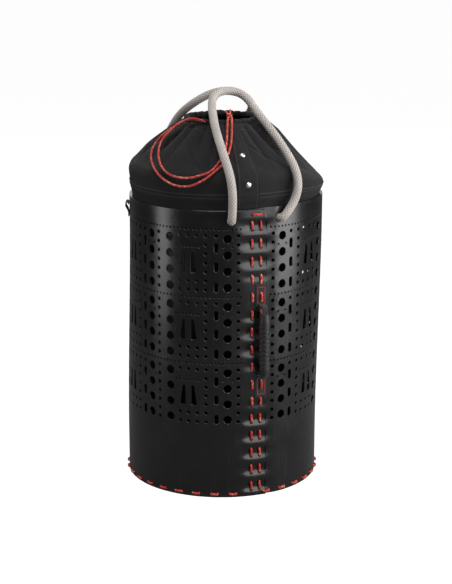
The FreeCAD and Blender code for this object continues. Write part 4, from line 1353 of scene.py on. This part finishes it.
        for z, pitch in ((0.4390, 0.0042), (0.4346, 0.0042), (0.5185, 0.0036)):
            k = row_at(z)
            at = self.length[k]
            step = math.degrees(pitch / self.profile[k, 0])
            for azimuth in np.arange(2.5, 347.5, step):
                line = azimuth + reach * step * 0.68
                points = spot(line, np.full(6, at), 0.0)
                out = polar(self.normal[k, 0], line, self.normal[k, 1])
                add(points, out, (0, 0, 1))
        first, last = self.length[row_at(0.424)], self.length[-1] - 0.008
        for azimuth in (self.strip[0] + 0.9, self.strip[1] - 0.9):
            for at in np.arange(first, last, 0.0040):
                line = at + reach * 0.0028
                points = spot(np.full(6, azimuth), line, self.strip_t + 0.00025)
                k = int(np.argmin(np.abs(self.length - at)))
                out = polar(self.normal[k, 0], np.full(6, azimuth), self.normal[k, 1])
                add(points, out, (1, 0, 0))
        return settle(draft.build("collar_stitches", finishes.thread), [])

    def dress(self, finishes: Finishes) -> None:
        """Build the collar's pieces."""
        cloth = self.cloth(finishes)
        hem = self.hem(finishes)
        rim = int(np.argmin(np.abs(self.profile[:, 1] - 0.4205)))
        strip = self.band(*self.strip, 40, slice(rim, None), 0.00005, self.strip_t + 0.0002, "collar_strip",
                          finishes.canvas)
        settle(strip, ["collar_placket"])
        stitches = self.stitching(finishes)
        self.tape(finishes)

    def tape(self, finishes: Finishes) -> None:
        """Build the tape inside the rim and the cord inside the hem."""
        azimuth = np.arange(241) * 1.5
        draft = Draft()
        heights = np.array([0.3922, 0.3926, 0.398, 0.404, 0.410, 0.4154, 0.4158])
        outer, inner = np.full(7, 0.1342), np.full(7, 0.1331)
        r, z = np.concatenate([outer, inner]), np.concatenate([heights, heights[::-1]])
        around = azimuth[:-1, None]
        shift = self.wall.spread(around, z[None, :]) + self.wall.pull(around, z[None, :])
        points = polar(r[None, :] + shift, around, z[None, :])
        vs = np.concatenate([heights, heights[::-1], heights[:1]])
        draft.grid(points, np.radians(azimuth) * WALL_R, vs, wrap_u=True, wrap_v=True)
        settle(draft.build("rim_tape", finishes.webbing), ["collar_binding"])
        ring = polar(self.hem_r, np.linspace(0, 359, 400), self.hem_z)
        cord = Draft()
        braided_tube(cord, ring, 0.0015, CORD_BRAID, 10, (0, 0, 1))
        settle(cord.build("hem_cord", finishes.cord), ["drawstring_in_hem"])


@dataclass
class Rivets:
    """Two domed rivets through the strip, and the webbing loop that they hold inside."""

    azimuth: float = -5.0
    head_r: float = 0.0036
    head_h: float = 0.0018
    low: tuple[float, float] = (0.1386, 0.453)
    high: tuple[float, float] = (0.1085, 0.4887)
    slope: tuple[float, float] = (0.6595, 0.7518)
    strip_t: float = 0.00125

    def dress(self, finishes: Finishes) -> None:
        """Build the heads and the loop."""
        draft = Draft()
        turns = np.arange(40) * 2 * np.pi / 40
        shape = np.array([(0.04, 1.0), (0.2, 0.985), (0.42, 0.93), (0.62, 0.81), (0.78, 0.62), (0.88, 0.40),
                          (0.93, 0.30), (0.99, 0.27), (1.03, 0.18), (1.03, 0.04), (0.98, -0.06), (0.4, -0.08)])
        for place, slope in ((self.low, (1.0, 0.0)), (self.high, self.slope)):
            base = polar(place[0] + slope[0] * self.strip_t, self.azimuth, place[1] + slope[1] * self.strip_t)
            out = polar(slope[0], self.azimuth, slope[1])
            side = polar(1.0, self.azimuth + 90, 0.0)
            up = np.cross(out, side)
            r, h = shape[:, 0] * self.head_r, shape[:, 1] * self.head_h
            ring = (base + out * h[:, None, None] + side * (r[:, None] * np.cos(turns))[..., None]
                    + up * (r[:, None] * np.sin(turns))[..., None])
            start = draft.grid(ring, np.arange(len(shape)) * 0.0005, np.arange(41) * 0.0005, wrap_v=True)
            draft.lid(np.arange(40) + start, flip=True)
            draft.lid(np.arange(40) + start + 40 * (len(shape) - 1))
        settle(draft.build("rivet_heads", finishes.metal, sharp=50), ["collar_rivets"])
        loop = Draft()
        line = [(0.1363, 0.4445), (0.1363, 0.456), (0.1352, 0.4600), (0.1098, 0.4823), (0.1015, 0.4895)]
        eased = resample(softened(line, 0.003), 0.0012)
        loop.sweep(polar(eased[:, 0], self.azimuth, eased[:, 1]), rounded_box(0.0016, 0.018, 0.0005),
                   polar(1.0, self.azimuth, 0.0))
        settle(loop.build("tie_loop_web", finishes.webbing), ["inner_tie_loop"])


# ---------------------------------------------------------------- ropes and cords
class Side(Enum):
    """Which rope handle, and which way it lies from the middle."""

    FRONT = -1
    REAR = 1


@dataclass
class RopeHandle:
    """A rope handle whose ends go through the wall to stopper knots."""

    side: Side
    route: Route
    radius: float = 0.006
    sides: int = 44
    step: float = 0.0009
    through: tuple[float, float] = (0.1245, 0.1365)
    hinge_z: float = 0.404
    inside_r: float = 0.1179

    def ends(self) -> list[float]:
        """The azimuths where the route starts and ends."""
        return [math.degrees(math.atan2(p[0], -p[1])) for p in (self.route[0], self.route[-1])]

    def dress(self, finishes: Finishes) -> bpy.types.Object:
        """Build the rope and its knots, and hand back the rope."""
        word = self.side.name.lower()
        first, last = self.ends()
        lead = [tuple(polar(r, first, self.hinge_z)) for r in self.through]
        trail = [tuple(polar(r, last, self.hinge_z)) for r in self.through[::-1]]
        path = spline_points([*lead, *self.route, *trail], self.step)
        draft = Draft()
        braided_tube(draft, path, self.radius, ROPE_BRAID, self.sides)
        rope = draft.build(f"{word}_rope", finishes.rope, sharp=80)
        settle(rope, [f"{word}_handle_rope"], None)
        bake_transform(rope)
        tuple(polar(self.through[1], first, self.hinge_z))
        self.knots(word, finishes)
        return rope

    def knots(self, word: str, finishes: Finishes) -> None:
        """Build the stopper knots inside the wall."""
        draft = Draft()
        t = np.linspace(0, 2 * np.pi, 241)[:-6]
        for end in self.ends():
            out, side = polar(1.0, end, 0.0), polar(1.0, end + 90, 0.0)
            up = np.array([0.0, 0.0, 1.0])
            middle = polar(self.inside_r - 0.001, end, self.hinge_z)
            a, b, c = trefoil(t)
            line = middle + 0.0027 * (a[:, None] * side + b[:, None] * up) + 0.0058 * c[:, None] * out
            braided_tube(draft, resample(line, 0.0012), 0.0052, ROPE_BRAID, 24, out)
        settle(draft.build(f"{word}_stoppers", finishes.rope, sharp=80), [f"{word}_handle_knots"])


@dataclass
class Drawstring:
    """The two free strands of the drawstring, from the hem to their knot."""

    radius: float = 0.0015
    sides: int = 12
    step: float = 0.0006
    knot: tuple[float, float, float] = (-0.0075, -0.0515, 0.5356)

    def strand(self, name: str, node: str, route: Route, finishes: Finishes, knot: bpy.types.Object) -> None:
        """Build one strand.

        Args:
            name: The piece's name.
            node: The node that it stands for.
            route: Its spline's control points.
            finishes: The bag's finishes.
            knot: The knot at its end. Not used.
        """
        path = spline_points(route, self.step)
        draft = Draft()
        braided_tube(draft, path, self.radius, CORD_BRAID, self.sides)
        piece = settle(draft.build(name, finishes.cord, sharp=80), [node])

    def dress(self, finishes: Finishes) -> None:
        """Build the strands and the knot with its two cut tails."""
        draft = Draft()
        t = np.linspace(0, 2 * np.pi, 160)[:-3]
        a, b, c = trefoil(t)
        line = np.array(self.knot) + np.stack([0.00105 * a, 0.0016 * c, 0.00105 * b], axis=1)
        braided_tube(draft, resample(line, 0.0006), 0.0014, CORD_BRAID, 12, (0, 1, 0))
        for tail in (((-0.0085, -0.0510, 0.5372), (-0.0108, -0.0497, 0.5402), (-0.0128, -0.0492, 0.5424)),
                     ((-0.0065, -0.0508, 0.5374), (-0.0052, -0.0490, 0.5405), (-0.0049, -0.0476, 0.5436))):
            braided_tube(draft, resample(softened(tail, 0.002), 0.0006), 0.0014, CORD_BRAID, 12, (0, 1, 0))
        knot = settle(draft.build("strand_knot", finishes.cord, sharp=80), ["drawstring_knot"])
        self.strand("strand_outer", "drawstring_outer", CORD_OUTER, finishes, knot)
        self.strand("strand_inner", "drawstring_inner", CORD_INNER, finishes, knot)


# ---------------------------------------------------------------- side handle and loops
@dataclass
class SideHandle:
    """The small handle beside the seam: two sewn patches, a strap and its ribbed sleeve."""

    azimuth: float = 2.63
    box: tuple[float, float] = (0.0106, 0.0235)
    box_low: tuple[float, float] = (0.28510, 0.15320)
    patch_low: tuple[float, float] = (0.28100, 0.14930)
    patch: tuple[float, float, float] = (0.016, 0.0315, 0.0015)
    strap: tuple[float, float] = (0.009, 0.0024)
    pivot: float = 0.0082
    standoff: float = 0.014
    strap_top: float = 0.2835
    strap_low: float = 0.1783

    def at(self, side, out, z) -> np.ndarray:
        """Points beside, out from and above the handle's foot on the wall."""
        a = math.radians(self.azimuth)
        side, out, z = np.broadcast_arrays(side, out, z)
        r = WALL_R + out
        return np.stack([r * math.sin(a) + side * math.cos(a), -r * math.cos(a) + side * math.sin(a), z], axis=-1)

    def patches(self, finishes: Finishes) -> None:
        """Build the webbing patches that follow the wall, pressed in along their boxes of thread."""
        width, height, thick = self.patch
        for name, node, low in (("patch_top", "side_handle_top_patch", self.patch_low[0]),
                                ("patch_bottom", "side_handle_bottom_patch", self.patch_low[1])):
            z = np.linspace(low, low + height, 33)
            side = np.linspace(-width / 2, width / 2, 17)
            edge = np.minimum(np.minimum(z - low, low + height - z)[:, None], (width / 2 - np.abs(side))[None, :])
            sewn = np.abs(np.abs(side)[None, :] - self.box[0] / 2) < 0.0007
            crown = thick * (0.72 + 0.28 * smooth(edge, 0.0, 0.0016)) - 0.00025 * sewn
            drop = np.sqrt(np.maximum(WALL_R**2 - side**2, 0)) - WALL_R
            top = self.at(side[None, :], drop[None, :] + crown, z[:, None])
            under = self.at(side[None, :], drop[None, :] + 0.00008, np.broadcast_to(z[:, None], crown.shape))
            ring = np.concatenate([top, under[:, ::-1]], axis=1)
            vs = np.concatenate([side, side[::-1], side[:1]])
            draft = Draft()
            start = draft.grid(ring, z, vs, wrap_v=True, flip=True)
            draft.lid(start + np.arange(34))
            draft.lid(start + 32 * 34 + np.arange(34), flip=True)
            settle(draft.build(name, finishes.webbing, sharp=40), [node])

    def thread(self, finishes: Finishes) -> None:
        """Build the boxes of red thread, stitch by stitch."""
        draft = Draft()
        section, _, _ = thread_stitch()
        reach = np.array([-0.5, -0.4, -0.12, 0.12, 0.4, 0.5])
        bow = np.array([0.2, 0.85, 1.0, 1.0, 0.85, 0.2])
        half_w, height = self.box[0] / 2, self.box[1]
        for low in self.box_low:
            high = low + height
            corners = [(-half_w, low), (half_w, low), (half_w, high), (-half_w, high), (-half_w, low)]
            for a, b in zip(corners, corners[1:]):
                a, b = np.array(a), np.array(b)
                span = np.linalg.norm(b - a)
                count = int(round(span / 0.0027))
                for k in range(count):
                    share = (k + 0.5 + reach * 0.86) / count
                    p = a + (b - a) * share[:, None]
                    drop = np.sqrt(WALL_R**2 - p[:, 0] ** 2) - WALL_R
                    places = self.at(p[:, 0], drop + self.patch[2] + 0.0003 * bow - 0.0001, p[:, 1])
                    draft.sweep(places, section * (0.00034 * bow)[:, None, None], self.at(0, 1, 0) - self.at(0, 0, 0))
        settle(draft.build("box_thread", finishes.red_thread), ["side_handle_stitching"])

    def band(self, finishes: Finishes) -> None:
        """Build the strap, sewn to its patches and standing off the wall."""
        line = [(self.pivot - 0.0041, self.strap_top), (self.standoff, self.strap_top - 0.001),
                (self.standoff, self.strap_low + 0.001), (self.pivot - 0.0041, self.strap_low)]
        feet = [(0.0009, self.strap_top + 0.0016), *line, (0.0009, self.strap_low - 0.0016)]
        eased = resample(softened(feet, 0.0042, 8), 0.0009)
        outline = rounded_box(self.strap[1], self.strap[0], 0.0009)
        draft = Draft()
        draft.sweep(self.at(0.0, eased[:, 0], eased[:, 1]), outline, self.at(0, 0, 1) - self.at(0, 0, 0))
        piece = settle(draft.build("handle_strap", finishes.webbing, sharp=50),
                       ["side_handle_strap"], None)
        start, end = self.at(0.0, 0.0020, 0.2309), self.at(0.0, 0.0102, 0.2309)
        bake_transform(piece)

    def dress(self, finishes: Finishes) -> None:
        """Build the handle's soft pieces."""
        self.patches(finishes)
        self.thread(finishes)
        self.band(finishes)


@dataclass
class StrapLoops:
    """Two small webbing loops just under the rim."""

    wall: WallPanel
    azimuths: tuple[float, float] = (-109.0, 109.0)
    width: float = 0.020
    thick: float = 0.0015
    low: float = 0.385
    high: float = 0.406
    out: float = 0.006

    def dress(self, finishes: Finishes) -> None:
        """Build both loops."""
        inner, outer = WALL_R + 0.0009, WALL_R + self.out - 0.0006
        line = [(inner, self.low), (inner + 0.0004, self.low + 0.008), (outer, self.high - 0.006),
                (outer - 0.0004, self.high - 0.001), (inner + 0.0006, self.high), (inner, self.high - 0.0035)]
        eased = resample(softened(line, 0.003), 0.0006)
        for word, azimuth in zip(("left", "right"), self.azimuths):
            draft = Draft()
            radius = eased[:, 0] + self.wall.spread(azimuth, eased[:, 1])
            draft.sweep(polar(radius, azimuth, eased[:, 1]), rounded_box(self.thick, self.width, 0.0005),
                        polar(1.0, azimuth, 0.0))
            settle(draft.build(f"loop_{word}", finishes.webbing, sharp=50), [f"strap_loop_{word}"])


# ---------------------------------------------------------------- studio
@dataclass
class Studio:
    """A pale floor, soft lights and the camera."""

    place: tuple[float, float, float] = (-0.7680, -2.0872, 0.8363)
    pitch: float = 74.89
    heading: float = -20.36
    lens: float = 123.8
    shift_y: float = 0.0473

    def softbox(self, name: str, place: Sequence[float], size: tuple[float, float], power: float,
                aim: Sequence[float] = (0, 0, 0.3)) -> None:
        """Hang one soft light.

        Args:
            name: The light's name.
            place: Where it hangs.
            size: Its width and height.
            power: Its power in watts.
            aim: The point that it faces.
        """
        data = bpy.data.lights.new(name, "AREA")
        data.shape = "RECTANGLE"
        data.size, data.size_y = size
        data.energy = power
        lamp = bpy.data.objects.new(name, data)
        lamp.location = place
        toward = np.asarray(aim, float) - np.asarray(place, float)
        flat = math.hypot(toward[0], toward[1])
        lamp.rotation_euler = (math.atan2(flat, -toward[2]), 0, math.atan2(-toward[0], toward[1]))
        lamp.visible_camera = False
        bpy.context.scene.collection.objects.link(lamp)

    def floor(self) -> None:
        """Lay the floor."""
        material, tree, surface = start_material("floor", Roughness=0.9, Specular_IOR_Level=0.0)
        place = tree.put("TexCoord", outlet="Object")
        cloud = tree.put("TexNoise", Vector=place, Scale=3.0, Detail=2.0)
        tree.feed(surface.inputs["Base Color"], tree.blend(cloud, colour(0.15, 0.15, 0.15), colour(0.17, 0.17, 0.17)))
        surface.inputs["Emission Color"].default_value = colour(1, 1, 1)
        seen = tree.put("LightPath", outlet="Is Camera Ray")
        tree.feed(surface.inputs["Emission Strength"], tree.span(seen, 0.0, 1.0, 0.02, 0.97))
        draft = Draft()
        x = np.linspace(-20, 20, 41)
        points = np.stack([*np.meshgrid(x, x, indexing="ij"), np.zeros((41, 41))], axis=-1)
        draft.grid(points, x, x)
        draft.build("floor", material)

    def set_up(self) -> None:
        """Place everything."""
        scene = bpy.context.scene
        data = bpy.data.cameras.new("camera")
        data.lens, data.sensor_width, data.sensor_fit = self.lens, 36.0, "HORIZONTAL"
        data.shift_y = self.shift_y
        camera = bpy.data.objects.new("camera", data)
        camera.location = self.place
        camera.rotation_euler = (math.radians(self.pitch), 0, math.radians(self.heading))
        scene.collection.objects.link(camera)
        scene.camera = camera
        scene.view_settings.view_transform = "Standard"
        world = bpy.data.worlds.new("studio")
        world.use_nodes = True
        tree = Tree(world.node_tree)
        back = world.node_tree.nodes["Background"]
        back.inputs["Color"].default_value = colour(1, 1, 1)
        seen = tree.put("LightPath", outlet="Is Camera Ray")
        tree.feed(back.inputs["Strength"], tree.span(seen, 0.0, 1.0, 0.06, 1.0))
        scene.world = world
        self.floor()
        self.softbox("top", (-0.3, -0.6, 2.3), (1.2, 1.0), 34)
        self.softbox("right", (0.86, -0.74, 0.56), (0.8, 1.1), 16)
        self.softbox("front", (0.36, -1.25, 0.66), (0.6, 1.1), 7.5)
        self.softbox("left", (-0.95, 0.05, 0.52), (0.34, 1.0), 3.4)
        self.softbox("back", (0.6, 2.6, 1.6), (2.4, 1.6), 22)


def finish_metal_and_plastic(finishes: Finishes) -> None:
    """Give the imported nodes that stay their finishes."""
    for node, finish, slot in (("base_tray", finishes.tray, "tray"), ("rivet_backs", finishes.metal, "rivet"),
                               ("side_handle_grip", finishes.grip, "grip")):
        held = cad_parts[node]
        held.data.materials.clear()
        held.data.materials.append(finish)
        for place in held.material_slots:
            place.material = finish


def main() -> None:
    """Build the bag, piece by piece."""
    logging.basicConfig(level=logging.INFO, format="%(message)s")
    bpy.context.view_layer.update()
    Studio().set_up()
    finishes = Finishes()
    Drawstring().dress(finishes)
    RopeHandle(Side.FRONT, FRONT_HANDLE).dress(finishes)
    RopeHandle(Side.REAR, REAR_HANDLE).dress(finishes)
    wall = WallPanel()
    wall.dress(finishes)
    Lacing(wall).dress(finishes)
    Collar(wall).dress(finishes)
    Rivets().dress(finishes)
    SideHandle().dress(finishes)
    StrapLoops(wall).dress(finishes)
    finish_metal_and_plastic(finishes)


if __name__ == "__main__":
    main()
